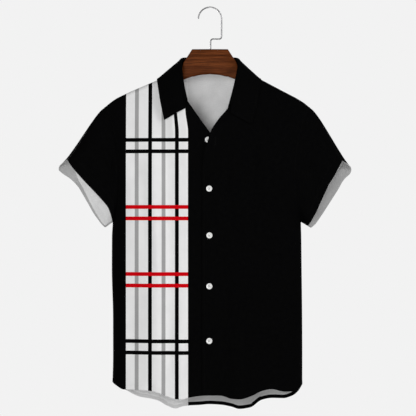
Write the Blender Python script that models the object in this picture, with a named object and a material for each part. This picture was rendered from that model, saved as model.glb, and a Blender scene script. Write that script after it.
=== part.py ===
"""Short-sleeved button shirt hanging on a flat wooden hanger with a wire hook.

Blender script, metres, +Z up. The origin is the inner top of the hook, where a rail holds the hanger.
The shirt's front faces -Y and the wearer's right side is at -X. The tables below are in millimetres.
"""
import math

import bmesh
import bpy
import numpy as np

MM = 0.001

# Cloth and seams
CLOTH = 1.5              # thickness of the cloth wall
SEAM_GAP = 0.3           # left between two pieces at a seam
OVERLAP_LIFT = 2.3       # the left front lies this far in front of the right front
LOOSE_LIFT = 6.5         # the same above the first fastened button, where the band hangs open
OVERLAP_FADE = (16.0, 42.0)   # across the left front, where that lift ends

LOOSE_HEIGHTS = (-350.0, -290.0, -262.0, -217.0)   # where that begins, is full, begins to end and ends
STITCH_GAP = 0.4         # more gap at the top of an armhole, where the seam allowance lies
ARMPIT_GAP = 1.7         # and this much more at the armpit, where the sleeve bends

# Body
CENTRE = -1.0            # middle of the body
ARMPIT_HEIGHT = -449.0
HEM_MIDDLE = -815.0      # the folds have their full depth here
RIDGE_RADIUS = 8.5       # how sharply the shoulders bend over the hanger's arms
SHOULDER_EASE = 230.0    # below the shoulder seam, where the body is as deep as its section
SECTION_POWER = 3.0      # section of the body: flat in front, round at the sides
SECTION_ROOT = 2.4

# Height, half widths to the wearer's right and left of the section, and its depth to front and back
BODY_SECTIONS = dict(
    height=(-850, -791, -735, -650, -545, -480, -449, -390, -340, -290, -245, -211, -120),
    right=(202, 203, 201.5, 202, 204, 204, 203, 207, 214, 223, 233, 244, 262),
    left=(193.5, 193.5, 194.5, 194, 192.5, 192, 191.5, 196, 203, 212, 222, 232, 250),
    front=(58, 58, 57, 56, 55, 54, 54, 54, 54, 54, 54, 54, 54),
    back=(57, 57, 56, 54, 52, 50, 50, 50, 50, 50, 50, 50, 50),
)

# Shoulder seam, which lies on the hanger's arms: height at each distance from the middle
SHOULDER_SEAM = dict(
    across=(-222, -209, -196, -168, -111, -62, 62, 105, 152, 182, 198, 210),
    height=(-210.5, -200.2, -191.2, -176.4, -150.0, -124.5, -124.5, -149.8, -175.4, -191.2, -201.0, -210.5),
)

# Armholes from the armpit (way 0) up to the shoulder (way 1)
ARMHOLES = dict(
    way=(0.0, 0.08, 0.2, 0.4, 0.6, 0.8, 1.0),
    right=(-204, -200.5, -196, -193.5, -197, -207.5, -222),
    left=(190.5, 188, 184, 182, 186, 196, 210),
    height=(-449, -434, -406, -352, -300, -252, -210.5),
)

# Hem of the fronts and of the back, which is longer
HEM = dict(
    across=(-204, -198, -180, -150, -117, -91, -70, -45, -3, 22, 45, 60, 85, 110, 130, 155, 173, 186, 192.5),
    front=(-785, -790, -799, -803, -807, -816, -822, -820, -813, -813, -821, -823, -814, -803, -800, -805,
           -803, -797, -788),
    back=(-786, -791, -802, -818, -824, -834, -843, -838, -835, -837, -842, -843.5, -841, -823, -819, -819,
          -812, -801, -789),
)

# Upper edge of each front from the shoulder's neck end, down the neck seam and along the open edge
RIGHT_FRONT_TOP = dict(
    across=(-62, -60, -56, -51, -46, -33, -16, -2, 5, 15),
    height=(-124.5, -152, -178, -194, -201, -217, -241, -260, -270, -284),
)
LEFT_FRONT_TOP = dict(
    across=(-16, -14, -10, -5, -1, 3, 12, 21, 30, 37, 43, 50, 56, 60, 62),
    height=(-345, -322, -299, -284, -266, -256, -243, -231, -221, -212, -201, -184, -164, -144, -124.5),
)
BACK_NECK = dict(
    across=(-62, -60, -56, -40, -20, -1, 18, 38, 55, 60, 62),
    height=(-124.5, -129, -132, -135.5, -137.5, -138, -137.5, -135.5, -132, -129, -124.5),
)

# Soft folds: place at the hem and at the chest, half width, depth at the hem (out is +), height they end at
FRONT_FOLDS = dict(
    hem=(-164, -113, -68, -4, 60, 124, 166),
    chest=(-160, -114, -62, -8, 52, 108, 150),
    width=(20, 24, 22, 28, 24, 26, 18),
    depth=(-4, 5, 8, -6, 9, -9, 5),
    top=(-230, -180, -420, -480, -400, -430, -540),
)
BACK_FOLDS = dict(
    hem=(-160, -118, -70, -8, 60, 122, 162),
    chest=(-140, -100, -54, 0, 55, 104, 140),
    width=(20, 22, 26, 30, 26, 24, 18),
    depth=(5, -8, 9, -8, 9, -9, 5),
    top=(-520, -420, -330, -300, -350, -430, -540),
)
FOLDS = dict(front=FRONT_FOLDS, back=BACK_FOLDS)

# The chest is pushed out where the collar hangs open
NECK_PUSH = dict(front=13.0, back=13.0)
NECK_PUSH_WIDTH = 85.0
NECK_PUSH_TALL = 62.0
NECK_PUSH_HEIGHT = dict(front=-205.0, back=-150.0)
NECK_PUSH_START = 30.0   # below the shoulder seam, where the push has its full depth

# Sleeve cuffs: top and bottom of the flat cuff, across and height
CUFFS = dict(
    right=((-309.5, -326.0), (-213.5, -455.5)),
    left=((290.5, -326.5), (210.0, -460.0)),
)
# How far the cuff's front and back edges are let out from that line, from its top (way 0) to its bottom
CUFF_EDGES = dict(
    way=(0.0, 0.1, 0.24, 0.37, 0.5, 0.65, 0.8, 0.92, 1.0),
    right_front=(-12.5, -11.5, -13, -14.4, -16.5, -18.5, -18, -13, -8),
    right_back=(16, 13, 5, 3, 5, 8.5, 11, 11, 9),
    left_front=(-11.5, -10, -9, -9.5, -8, -6, -3.5, -3, -3.5),
    left_back=(16, 14, 9.5, 9.5, 9, 8.5, 8.5, 7, 3),
)
CUFF_DEPTH = 25.0        # half of the cuff's opening, front to back
CUFF_SQUARENESS = 0.5    # below 1 the cuff is a flat loop with tight ends
CUFF_TURN = 1.2          # how fast its edge changes from the front line to the back line
SLEEVE_START = (0.86, -0.51)   # across and up: the way the sleeves leave the body
SLEEVE_PULL = (70.0, 60.0)     # how strongly the sleeve keeps its direction at the armhole and the cuff
SLEEVE_PULL_SHARE = 0.6        # and at most this share of its length there

# Collar, from the middle of the back (way 0) to the front end (way 1).
# Seam, fold line and outer edge as across, front-to-back and height; drop bends the leading edge down.
RIGHT_COLLAR = dict(
    way=(0.0, 0.2, 0.36, 0.43, 0.5, 0.56, 0.64, 0.8, 1.0),
    fold_across=(-1, -31, -53, -58, -59, -58.5, -57, -53.0, -47.5),
    fold_depth=(22, 21, 14, 6, -5, -19, -31, -44, -51.0),
    fold_height=(-104, -104, -105.5, -109, -114, -123, -140, -168, -193),
    edge_across=(-1, -52, -94, -106, -111, -111, -109.5, -104, -95.5),
    edge_depth=(34, 32, 22, 12, 0, -11, -20, -36, -45),
    edge_height=(-168, -167, -155, -149, -146.0, -149, -160, -196, -236),
)
LEFT_COLLAR = dict(
    way=(0.0, 0.2, 0.36, 0.43, 0.5, 0.56, 0.64, 0.8, 1.0),
    fold_across=(-1, 29, 52, 57, 58.5, 58, 55, 47.5, 39.5),
    fold_depth=(22, 21, 14, 6, -5, -19, -31, -45, -52.0),
    fold_height=(-104, -104, -105.5, -109, -114, -123, -141, -174, -204),
    edge_across=(-1, 50, 91, 102, 106.5, 107, 105, 99, 88),
    edge_depth=(34, 32, 22, 12, 0, -11, -20, -36, -45),
    edge_height=(-168, -167, -155, -149, -146.0, -149, -162, -202, -246),
)
# The neck seam at each way: round the back neck to the shoulder (way 0.5), then down the front
NECK_SEAM = dict(
    way=(0.0, 0.2, 0.36, 0.43, 0.5, 0.56, 0.64, 0.8, 1.0),
    right_across=(-1, -32, -55, -60, -62, -61.5, -60.2, -55.5, -46.5),
    right_height=(-138, -136.4, -132.3, -129, -124.5, -133, -151, -180, -200.5),
    left_across=(-1, 30, 54, 60, 62, 61.3, 58.5, 50, 37.5),
    left_height=(-138, -136.4, -132.3, -129, -124.5, -133, -152, -184, -211.5),
)
COLLAR_ROLL = 2.6        # radius of the collar's fold
COLLAR_CLEAR = 2.4       # the fall lies this far outside the cloth below it, middle to middle
COLLAR_LIFT = 1.4        # the stand starts this far above the neck seam
SHOULDER_LIFT = 1.6      # and this much more beside the shoulder seams
SHOULDER_LIFT_WAY = (0.48, 0.1)   # at this way, and how wide
LEADING_EDGE_DROP = 13.0
LEADING_EDGE_WAY = 0.8   # the drop grows from here to the front end
STAND_WAYS = (0.0, 0.35, 0.7, 0.94)
ROLL_ANGLES = (130, 85, 40)
FALL_WAYS = (0.1, 0.24, 0.4, 0.56, 0.72, 0.87, 1.0)

# Buttons, 20-line, at these places on the front; the first is on the right front and not fastened
BUTTONS = dict(
    across=(-4.2, -1.5, -1.5, -1.5, -1.3),
    height=(-277.8, -379.7, -477.3, -583.2, -697.2),
)
BUTTON_PROFILE = dict(
    radius=(0.0, 2.6, 3.6, 4.9, 5.9, 6.35, 5.6, 0.0),
    height=(0.9, 0.9, 1.9, 2.5, 2.2, 1.2, 0.0, 0.0),
)
BUTTON_SIDES = 20

# Wooden hanger: how tall its board is at each distance from the middle, and the top of its middle part
HANGER = dict(
    across=(0, 20, 37.5, 56.5, 58.5, 64, 85, 111, 140, 168, 186, 194, 199),
    tall=(47.4, 48.8, 52, 31.0, 22, 23, 23, 23, 22.5, 22, 20, 16, 10.5),
)
HANGER_MIDDLE = dict(across=(0, 37.5, 56.5, 58.5), top=(-88.4, -88.6, -116.0, -127.0))
HANGER_CLEAR = 2.4       # top of the arms below the middle of the cloth
HANGER_THICK = 11.0
HANGER_EDGE = 4.8        # rounding of the board's edges
CORNER_STEPS = 3         # edges in each rounded corner

# Wire hook
WIRE_RADIUS = 1.4
HOOK_RADIUS = 24.3       # of the wire's middle line
HOOK_STEM = (1.3, -87.9)
HOOK_JOG_HEIGHT = -65.4
HOOK_BEND = 5.0
HOOK_ARC_POINTS = 26
BEND_POINTS = 6
WIRE_RESOLUTION = 3

# Rows and columns of the cloth grids
LOW_ROWS = 12
UP_WAYS = (0.0, 0.08, 0.17, 0.28, 0.39, 0.5, 0.61, 0.72, 0.82, 0.9, 0.945, 0.97, 0.988, 1.0)
SIDE_WAYS = (0.36, 0.66, 0.87, 0.97, 1.0)
RIGHT_FRONT_COLUMNS = (-176, -160, -144, -128, -112, -96, -80, -70, -62, -61.4, -60, -56, -46, -31, -16,
                       -8, 0, 8, 15)
LEFT_FRONT_COLUMNS = (-16, -12.5, -8, 0, 8, 18, 28, 38, 48, 56, 60, 61.4, 62, 73, 84, 97, 110, 126, 144,
                      162)
BACK_COLUMNS = (-176, -158, -140, -122, -104, -88, -74, -62, -61, -54, -38, -20, -1,
                18, 37, 53, 61, 62, 73, 84, 97, 110, 126, 144, 162)
SLEEVE_ROWS = (0.0, 0.1, 0.24, 0.4, 0.58, 0.78, 1.0)
COLLAR_WAYS = (0.0, 0.07, 0.14, 0.2, 0.26, 0.31, 0.36, 0.4, 0.435, 0.47, 0.5, 0.525, 0.55, 0.58, 0.62,
               0.68, 0.75, 0.82, 0.88, 0.94, 1.0)

COLOURS = dict(      # colour, roughness, metallic
    black_cloth=((0.006, 0.006, 0.007), 0.75, 0.0),
    printed_cloth=((0.45, 0.45, 0.45), 0.75, 0.0),
    white_plastic=((0.86, 0.86, 0.84), 0.3, 0.0),
    brown_wood=((0.13, 0.034, 0.012), 0.35, 0.0),
    steel_wire=((0.55, 0.55, 0.56), 0.25, 1.0),
)


def smooth(table_x, table_y, x):
    """Smooth curve through a table's points, which never swings past them."""
    table_x, table_y = np.asarray(table_x, float), np.asarray(table_y, float)
    step, slope = np.diff(table_x), np.diff(table_y) / np.diff(table_x)
    bend = slope[:-1] * slope[1:]
    inner = np.where(bend > 0, 2 * bend / np.where(bend > 0, slope[:-1] + slope[1:], 1), 0.0)
    tangent = np.concatenate([slope[:1], inner, slope[-1:]])
    x = np.clip(x, table_x[0], table_x[-1])
    i = np.clip(np.searchsorted(table_x, x, side="right") - 1, 0, len(step) - 1)
    t = (x - table_x[i]) / step[i]
    start, end = table_y[i], table_y[i + 1]
    leave, arrive = tangent[i] * step[i], tangent[i + 1] * step[i]
    return (start * (1 + 2 * t) * (1 - t) ** 2 + leave * t * (1 - t) ** 2
            + end * t * t * (3 - 2 * t) + arrive * t * t * (t - 1))


def ease(x):
    x = np.clip(x, 0.0, 1.0)
    return x * x * (3 - 2 * x)


def column(table, name, key, x):
    return smooth(table[key], table[name], x)


def shoulder_height(x):
    """Height of the shoulder seam; level across the neck."""
    return np.interp(x, SHOULDER_SEAM["across"], SHOULDER_SEAM["height"])


def fold_depth(folds, x, z):
    total = np.zeros(np.broadcast(x, z).shape)
    for hem, chest, width, depth, top in zip(*(folds[k] for k in ("hem", "chest", "width", "depth", "top"))):
        down = (z - top) / (HEM_MIDDLE - top)
        place = chest + (hem - chest) * np.clip(down, 0, 1)
        total += depth * ease(down) * np.exp(-((x - place) / width) ** 2)
    return total


def depth_at(face, x, z):
    """How far the middle of the cloth is from the plane of the hanger, in front or at the back."""
    x, z = np.broadcast_arrays(np.asarray(x, float), np.asarray(z, float))
    heights = BODY_SECTIONS["height"]
    right, left = (smooth(heights, BODY_SECTIONS[side], z) for side in ("right", "left"))
    share = np.clip(np.abs(x - CENTRE) / np.where(x < CENTRE, right, left), 0, 1 - 1e-9)
    round_side = (1 - share ** SECTION_POWER) ** (1 / SECTION_ROOT)
    section = smooth(heights, BODY_SECTIONS[face], z) + fold_depth(FOLDS[face], x, z)
    drop = np.maximum(shoulder_height(x) - z, 0.0)
    ridge = RIDGE_RADIUS * np.sqrt(1 - (1 - np.clip(drop / RIDGE_RADIUS, 0, 1)) ** 2)
    grown = 1 - (1 - np.clip(drop / SHOULDER_EASE, 0, 1)) ** 2
    push = NECK_PUSH[face] * ease(drop / NECK_PUSH_START) * np.exp(-(x / NECK_PUSH_WIDTH) ** 2)
    push = push * np.exp(-((z - NECK_PUSH_HEIGHT[face]) / NECK_PUSH_TALL) ** 2)
    full = section * round_side
    low = np.minimum(ridge, full)
    return low + (full - low) * grown + push * round_side


def cloth_point(face, x, z, lift):
    """Point of the cloth's middle surface, moved out by lift along the surface's normal."""
    x, z = np.broadcast_arrays(np.asarray(x, float), np.asarray(z, float))
    step = 0.05
    depth = depth_at(face, x, z)
    inward = np.where(x < CENTRE, step, -step)
    along_x = (depth_at(face, x + inward, z) - depth) / inward
    along_z = (depth - depth_at(face, x, z - step)) / step
    out = -1.0 if face == "front" else 1.0
    normal = np.stack([-along_x, np.full(x.shape, out), -along_z], -1)
    normal /= np.linalg.norm(normal, axis=-1, keepdims=True)
    y = out * np.maximum(depth, SEAM_GAP / 2)
    return np.stack([x, y, z], -1) + normal * np.asarray(lift)[..., None]


def front_top(side, x):
    """Upper edge of a front: shoulder seam, neck seam and open edge."""
    top = RIGHT_FRONT_TOP if side == "right" else LEFT_FRONT_TOP
    inside = x >= top["across"][0] if side == "right" else x <= top["across"][-1]
    return column(top, "height", "across", x) if inside else shoulder_height(x)


def back_top(x):
    inside = BACK_NECK["across"][0] <= x <= BACK_NECK["across"][-1]
    return column(BACK_NECK, "height", "across", x) if inside else shoulder_height(x)


def straight_column(x, hem, top):
    """Across and height of a column that hangs straight down at x."""
    low = [hem + (ARMPIT_HEIGHT - hem) * i / LOW_ROWS for i in range(LOW_ROWS)]
    high = [ARMPIT_HEIGHT + (top - ARMPIT_HEIGHT) * way for way in UP_WAYS]
    heights = np.array(low + high)
    return np.stack([np.full(heights.shape, float(x)), heights], -1)


def side_column(side, hem_name):
    """Side seam from the hem to the armpit, then the armhole up to the shoulder."""
    sign = -1 if side == "right" else 1
    hem = column(HEM, hem_name, "across", HEM["across"][0 if side == "right" else -1])
    low = np.array([hem + (ARMPIT_HEIGHT - hem) * i / LOW_ROWS for i in range(LOW_ROWS)])
    half = column(BODY_SECTIONS, side, "height", low)
    seam = np.stack([CENTRE + sign * half, low], -1)
    ways = np.array(UP_WAYS)
    arm = np.stack([column(ARMHOLES, side, "way", ways), column(ARMHOLES, "height", "way", ways)], -1)
    return np.concatenate([seam, arm])


def side_grid(side, hem_name, inner):
    """Columns between the last straight column and the side, closer together where the body turns."""
    edge = side_column(side, hem_name)
    share = np.concatenate([np.zeros(LOW_ROWS), UP_WAYS])
    low_share = 1 - np.concatenate([np.arange(LOW_ROWS) / LOW_ROWS, np.ones(len(UP_WAYS))])
    columns = []
    for way in SIDE_WAYS:
        line = inner * (1 - way) + edge * way
        line[:, 1] += (shoulder_height(line[-1, 0]) - line[-1, 1]) * share ** 3
        line[:, 1] += (column(HEM, hem_name, "across", line[0, 0]) - line[0, 1]) * low_share ** 3
        columns.append(line)
    return columns


def panel_grid(face, columns, top, sides):
    """Grid of across and height, from the wearer's right to the left."""
    grid = [straight_column(x, column(HEM, face, "across", x), top(x)) for x in columns]
    if "right" in sides:
        grid = side_grid("right", face, grid[0])[::-1] + grid
    if "left" in sides:
        grid = grid + side_grid("left", face, grid[-1])
    return np.array(grid)


def overlap_lift(x, z):
    """The left front lies on the right front, and stands off more where it isn't buttoned."""
    start, end = OVERLAP_FADE
    begins, full, ends, gone = LOOSE_HEIGHTS
    loose = ease((z - begins) / (full - begins)) * (1 - ease((z - ends) / (gone - ends)))
    lift = OVERLAP_LIFT + (LOOSE_LIFT - OVERLAP_LIFT) * loose
    return lift * (1 - ease((x - start) / (end - start)))


def shade(obj, colour_name):
    colour, roughness, metallic = COLOURS[colour_name]
    material = bpy.data.materials.get(colour_name) or bpy.data.materials.new(colour_name)
    material.use_nodes = True
    shader = material.node_tree.nodes["Principled BSDF"]
    shader.inputs["Base Color"].default_value = (*colour, 1)
    shader.inputs["Roughness"].default_value = roughness
    shader.inputs["Metallic"].default_value = metallic
    material.diffuse_color = (*colour, 1)
    obj.data.materials.append(material)


def finish(name, bm, colour_name):
    bmesh.ops.recalc_face_normals(bm, faces=bm.faces)
    mesh = bpy.data.meshes.new(name)
    bm.to_mesh(mesh)
    bm.free()
    mesh.shade_smooth()
    mesh.set_sharp_from_angle(angle=math.radians(50))
    obj = bpy.data.objects.new(name, mesh)
    bpy.context.scene.collection.objects.link(obj)
    shade(obj, colour_name)
    return obj


def cloth_wall(name, outer, inner, colour_name, round_across=False):
    """Closed wall between two grids of points, open in the middle where the columns go all the way round."""
    bm = bmesh.new()
    sheets = []
    for points in (outer, inner):
        sheets.append([[bm.verts.new(p * MM) for p in line] for line in points])
    columns, rows = len(outer), len(outer[0])
    last = columns if round_across else columns - 1
    for sheet in sheets:
        for i in range(last):
            a, b = sheet[i], sheet[(i + 1) % columns]
            for j in range(rows - 1):
                bm.faces.new((a[j], b[j], b[j + 1], a[j + 1]))
    for i in range(last):
        k = (i + 1) % columns
        for j in (0, rows - 1):
            bm.faces.new((sheets[0][i][j], sheets[0][k][j], sheets[1][k][j], sheets[1][i][j]))
    if not round_across:
        for i in (0, columns - 1):
            for j in range(rows - 1):
                bm.faces.new((sheets[0][i][j], sheets[0][i][j + 1], sheets[1][i][j + 1], sheets[1][i][j]))
    return finish(name, bm, colour_name)


def body_panel(name, face, grid, lift, colour_name):
    x, z = grid[..., 0], grid[..., 1]
    outer = cloth_point(face, x, z, lift + CLOTH / 2)
    inner = cloth_point(face, x, z, lift - CLOTH / 2)
    return cloth_wall(name, outer, inner, colour_name)


def make_fronts_and_back():
    right = panel_grid("front", RIGHT_FRONT_COLUMNS, lambda x: front_top("right", x), ("right",))
    body_panel("right_front", "front", right, np.zeros(right.shape[:2]), "printed_cloth")
    left = panel_grid("front", LEFT_FRONT_COLUMNS, lambda x: front_top("left", x), ("left",))
    lift = overlap_lift(left[..., 0], left[..., 1])
    body_panel("left_front", "front", left, lift, "black_cloth")
    back = panel_grid("back", BACK_COLUMNS, back_top, ("right", "left"))
    body_panel("back", "back", back, np.zeros(back.shape[:2]), "black_cloth")


def armhole_ring(side):
    """Points round the armhole: from the shoulder down the front to the armpit and up the back."""
    edge = side_column(side, "front")[LOW_ROWS:]
    front = cloth_point("front", edge[:, 0], edge[:, 1], 0.0)[::-1]
    back = cloth_point("back", edge[:, 0], edge[:, 1], 0.0)
    front[0, 1] = front[-1, 1] = 0.0
    return np.concatenate([front, back[1:-1]])


def cuff_ring(side, angles):
    """Points round the cuff, and the way the sleeve points there."""
    top, bottom = np.array(CUFFS[side])
    along = bottom - top
    outward = np.array([along[1], -along[0]]) / np.linalg.norm(along)
    outward *= np.sign(outward[0]) * np.sign(top[0])
    up = np.sign(np.cos(angles)) * np.abs(np.cos(angles)) ** CUFF_SQUARENESS
    front = np.sign(np.sin(angles)) * np.abs(np.sin(angles)) ** CUFF_SQUARENESS
    way = (1 - up) / 2
    let_front = column(CUFF_EDGES, side + "_front", "way", way)
    let_back = column(CUFF_EDGES, side + "_back", "way", way)
    share = (np.clip(front * CUFF_TURN, -1, 1) + 1) / 2
    let_out = let_back + (let_front - let_back) * share
    flat = top + along * way[:, None] + outward * let_out[:, None]
    return np.stack([flat[:, 0], -CUFF_DEPTH * front, flat[:, 1]], -1), outward


def sleeve_grid(side):
    ring = armhole_ring(side)
    sign = -1 if side == "right" else 1
    count = len(ring)
    angles = 2 * math.pi * np.arange(count) / count
    cuff, outward = cuff_ring(side, angles)
    start = np.array([sign * SLEEVE_START[0], 0, SLEEVE_START[1]])
    gap = SEAM_GAP + STITCH_GAP + ARMPIT_GAP * ((1 - np.cos(angles)) / 2) ** 3
    ring = ring + start * gap[:, None]
    most = SLEEVE_PULL_SHARE * np.linalg.norm(cuff - ring, axis=1)[:, None]
    leave = start * np.minimum(SLEEVE_PULL[0], most)
    arrive = np.array([outward[0], 0, outward[1]]) * np.minimum(SLEEVE_PULL[1], most)
    rows = []
    for t in SLEEVE_ROWS:
        rows.append(ring * (1 + 2 * t) * (1 - t) ** 2 + leave * t * (1 - t) ** 2
                    + cuff * t * t * (3 - 2 * t) + arrive * t * t * (t - 1))
    return np.array(rows).transpose(1, 0, 2)


def grid_normals(grid, round_across):
    """Normals of a grid of points."""
    if round_across:
        across = np.roll(grid, -1, 0) - np.roll(grid, 1, 0)
    else:
        across = np.gradient(grid, axis=0)
    along = np.gradient(grid, axis=1)
    normal = np.cross(across, along)
    return normal / np.linalg.norm(normal, axis=-1, keepdims=True)


def make_sleeve(side):
    grid = sleeve_grid(side)
    normal = grid_normals(grid, True) * CLOTH / 2
    cloth_wall(side + "_sleeve", grid + normal, grid - normal, "black_cloth", round_across=True)


def push_out(points, clear):
    """Moves points that are inside the cloth of the body, or closer to it than clear, out of it."""
    x, y, z = points[..., 0], points[..., 1], points[..., 2]
    axis = shoulder_height(x) - RIDGE_RADIUS
    reach = np.hypot(y, z - axis)
    round_scale = np.where(z > axis, np.maximum((RIDGE_RADIUS + clear) / np.maximum(reach, 1e-6), 1.0), 1.0)
    depth = np.where(y < 0, depth_at("front", x, z), depth_at("back", x, z)) + clear
    flat_y = np.where(y < 0, -1, 1) * np.maximum(np.abs(y), depth)
    new_y = np.where(z > axis, y * round_scale, flat_y)
    new_z = np.where(z > axis, axis + (z - axis) * round_scale, z)
    return np.stack([x, new_y, new_z], -1)


def collar_section(side, way):
    """Middle line of the collar from the neck seam over the fold to the outer edge."""
    table = RIGHT_COLLAR if side == "right" else LEFT_COLLAR
    seam_x = column(NECK_SEAM, side + "_across", "way", way)
    seam_z = column(NECK_SEAM, side + "_height", "way", way)
    face = "back" if way < 0.5 else "front"
    seam = cloth_point(face, seam_x, seam_z, 0.0)
    fold = np.array([column(table, "fold_" + part, "way", way) for part in ("across", "depth", "height")])
    edge = np.array([column(table, "edge_" + part, "way", way) for part in ("across", "depth", "height")])
    stand = (fold - seam) / np.linalg.norm(fold - seam)
    place, width = SHOULDER_LIFT_WAY
    seam = seam + stand * (COLLAR_LIFT + SHOULDER_LIFT * math.exp(-((way - place) / width) ** 2))
    out = edge - fold
    out = out - stand * np.dot(out, stand)
    out /= np.linalg.norm(out)
    points = [seam + (fold - seam) * t for t in STAND_WAYS]
    centre = points[-1] + out * COLLAR_ROLL
    for degrees in ROLL_ANGLES:
        turn = math.radians(degrees)
        points.append(centre + COLLAR_ROLL * (out * math.cos(turn) + stand * math.sin(turn)))
    start = centre + out * COLLAR_ROLL
    drop = np.array([0, 0, -LEADING_EDGE_DROP]) * ease((way - LEADING_EDGE_WAY) / (1 - LEADING_EDGE_WAY))
    for t in FALL_WAYS:
        leaf = start + (edge - start) * t + drop * (1 - t)
        points.append(push_out(leaf, COLLAR_CLEAR))
    return np.array(points)


def make_collar():
    right = [collar_section("right", way) for way in COLLAR_WAYS[::-1]]
    left = [collar_section("left", way) for way in COLLAR_WAYS[1:]]
    grid = np.array(right + left)
    normal = grid_normals(grid, False) * CLOTH / 2
    cloth_wall("collar", grid + normal, grid - normal, "black_cloth")


def make_button(number, x, z):
    """A turned button with a raised rim, lying on the front."""
    loose = number == 1
    lift = CLOTH / 2 + SEAM_GAP + (0.0 if loose else float(overlap_lift(x, z)))
    place = cloth_point("front", x, z, lift)
    out = cloth_point("front", x, z, lift + 1.0) - place
    bm = bmesh.new()
    profile = zip(BUTTON_PROFILE["radius"], BUTTON_PROFILE["height"])
    ring = [bm.verts.new((radius * MM, 0, height * MM)) for radius, height in profile]
    edges = [bm.edges.new(pair) for pair in zip(ring, ring[1:])]
    bmesh.ops.spin(bm, geom=ring + edges, cent=(0, 0, 0), axis=(0, 0, 1), angle=2 * math.pi,
                   steps=BUTTON_SIDES, use_merge=True)
    bmesh.ops.remove_doubles(bm, verts=bm.verts, dist=1e-6)
    obj = finish("button_%d" % number, bm, "white_plastic")
    obj.location = place * MM
    tilt = math.atan2(out[2], -out[1])
    turn = math.atan2(out[0], -out[1])
    obj.rotation_euler = (math.pi / 2 - tilt, 0, turn)
    return obj


def board_section(x, top, bottom):
    """Rounded rectangle of the hanger's board at x, all round."""
    half, edge = HANGER_THICK / 2, HANGER_EDGE
    middle, tall = (top + bottom) / 2, (top - bottom) / 2
    points = []
    for quarter in range(4):
        for step in range(CORNER_STEPS + 1):
            turn = (quarter + step / CORNER_STEPS) * math.pi / 2
            side_y = half - edge if quarter in (0, 3) else edge - half
            side_z = tall - edge if quarter in (0, 1) else edge - tall
            points.append((x, side_y + edge * math.cos(turn), middle + side_z + edge * math.sin(turn)))
    return points


def make_hanger_body():
    rows = []
    for x, tall in zip(HANGER["across"], HANGER["tall"]):
        arm = min(shoulder_height(x), shoulder_height(-x)) - HANGER_CLEAR
        middle = np.interp(x, HANGER_MIDDLE["across"], HANGER_MIDDLE["top"])
        top = middle if x <= HANGER_MIDDLE["across"][-1] else arm
        rows.append((x, top, top - tall))
    stations = [(-x, top, bottom) for x, top, bottom in rows[:0:-1]] + rows
    bm = bmesh.new()
    rings = [[bm.verts.new(np.array(p) * MM) for p in board_section(*station)] for station in stations]
    for a, b in zip(rings, rings[1:]):
        for i in range(len(a)):
            k = (i + 1) % len(a)
            bm.faces.new((a[i], a[k], b[k], b[i]))
    bm.faces.new(rings[0])
    bm.faces.new(rings[-1])
    finish("hanger_body", bm, "brown_wood")


def arc(centre, radius, start, end, count):
    """Points on an arc in the plane of the hanger, angles in degrees."""
    turns = np.radians(np.linspace(start, end, count))
    return [(centre[0] + radius * math.cos(t), 0.0, centre[1] + radius * math.sin(t)) for t in turns]


def make_hanger_hook():
    middle = (0.0, WIRE_RADIUS - HOOK_RADIUS)
    stem_x, stem_z = HOOK_STEM
    jog = HOOK_JOG_HEIGHT
    bend = HOOK_BEND
    route = [(stem_x, 0.0, stem_z)]
    route += arc((stem_x + bend, jog - bend), bend, 180, 90, BEND_POINTS)
    route += arc((HOOK_RADIUS - bend, jog + bend), bend, 270, 360, BEND_POINTS)
    route += arc(middle, HOOK_RADIUS, 0, 180, HOOK_ARC_POINTS)
    curve = bpy.data.curves.new("hanger_hook", "CURVE")
    curve.dimensions = "3D"
    curve.bevel_depth = WIRE_RADIUS * MM
    curve.bevel_resolution = WIRE_RESOLUTION
    curve.use_fill_caps = True
    spline = curve.splines.new("POLY")
    spline.points.add(len(route) - 1)
    for point, place in zip(spline.points, route):
        point.co = (*(np.array(place) * MM), 1)
    obj = bpy.data.objects.new("hanger_hook", curve)
    bpy.context.scene.collection.objects.link(obj)
    shade(obj, "steel_wire")


def main():
    for obj in list(bpy.data.objects):
        bpy.data.objects.remove(obj, do_unlink=True)
    make_fronts_and_back()
    make_sleeve("right")
    make_sleeve("left")
    make_collar()
    for number, (x, z) in enumerate(zip(BUTTONS["across"], BUTTONS["height"]), 1):
        make_button(number, x, z)
    make_hanger_body()
    make_hanger_hook()


main()
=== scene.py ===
"""Looks of a short-sleeved button shirt that hangs on a flat wooden hanger.

Metres, +Z up. The origin is the inner top of the hook, the shirt's front faces -Y and the wearer's right
side is at -X. The tables are in millimetres, with one named column for each kind of number.
"""
import math

import bmesh
import bpy
import numpy as np
from mathutils import Matrix, Vector


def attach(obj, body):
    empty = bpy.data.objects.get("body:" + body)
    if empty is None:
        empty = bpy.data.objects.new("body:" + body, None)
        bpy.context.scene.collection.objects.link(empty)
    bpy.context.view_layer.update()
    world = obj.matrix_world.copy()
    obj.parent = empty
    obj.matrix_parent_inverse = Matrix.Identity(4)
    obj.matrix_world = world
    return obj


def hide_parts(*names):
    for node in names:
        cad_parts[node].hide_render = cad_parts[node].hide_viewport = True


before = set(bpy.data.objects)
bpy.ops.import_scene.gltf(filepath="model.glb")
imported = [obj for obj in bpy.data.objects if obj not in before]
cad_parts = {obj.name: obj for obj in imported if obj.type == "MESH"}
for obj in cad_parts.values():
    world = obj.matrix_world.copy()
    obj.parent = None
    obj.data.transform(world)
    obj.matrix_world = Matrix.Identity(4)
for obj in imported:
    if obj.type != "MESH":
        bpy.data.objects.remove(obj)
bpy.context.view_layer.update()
MM = 0.001
ACROSS = (1.0, 0.0, 0.0)

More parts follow.
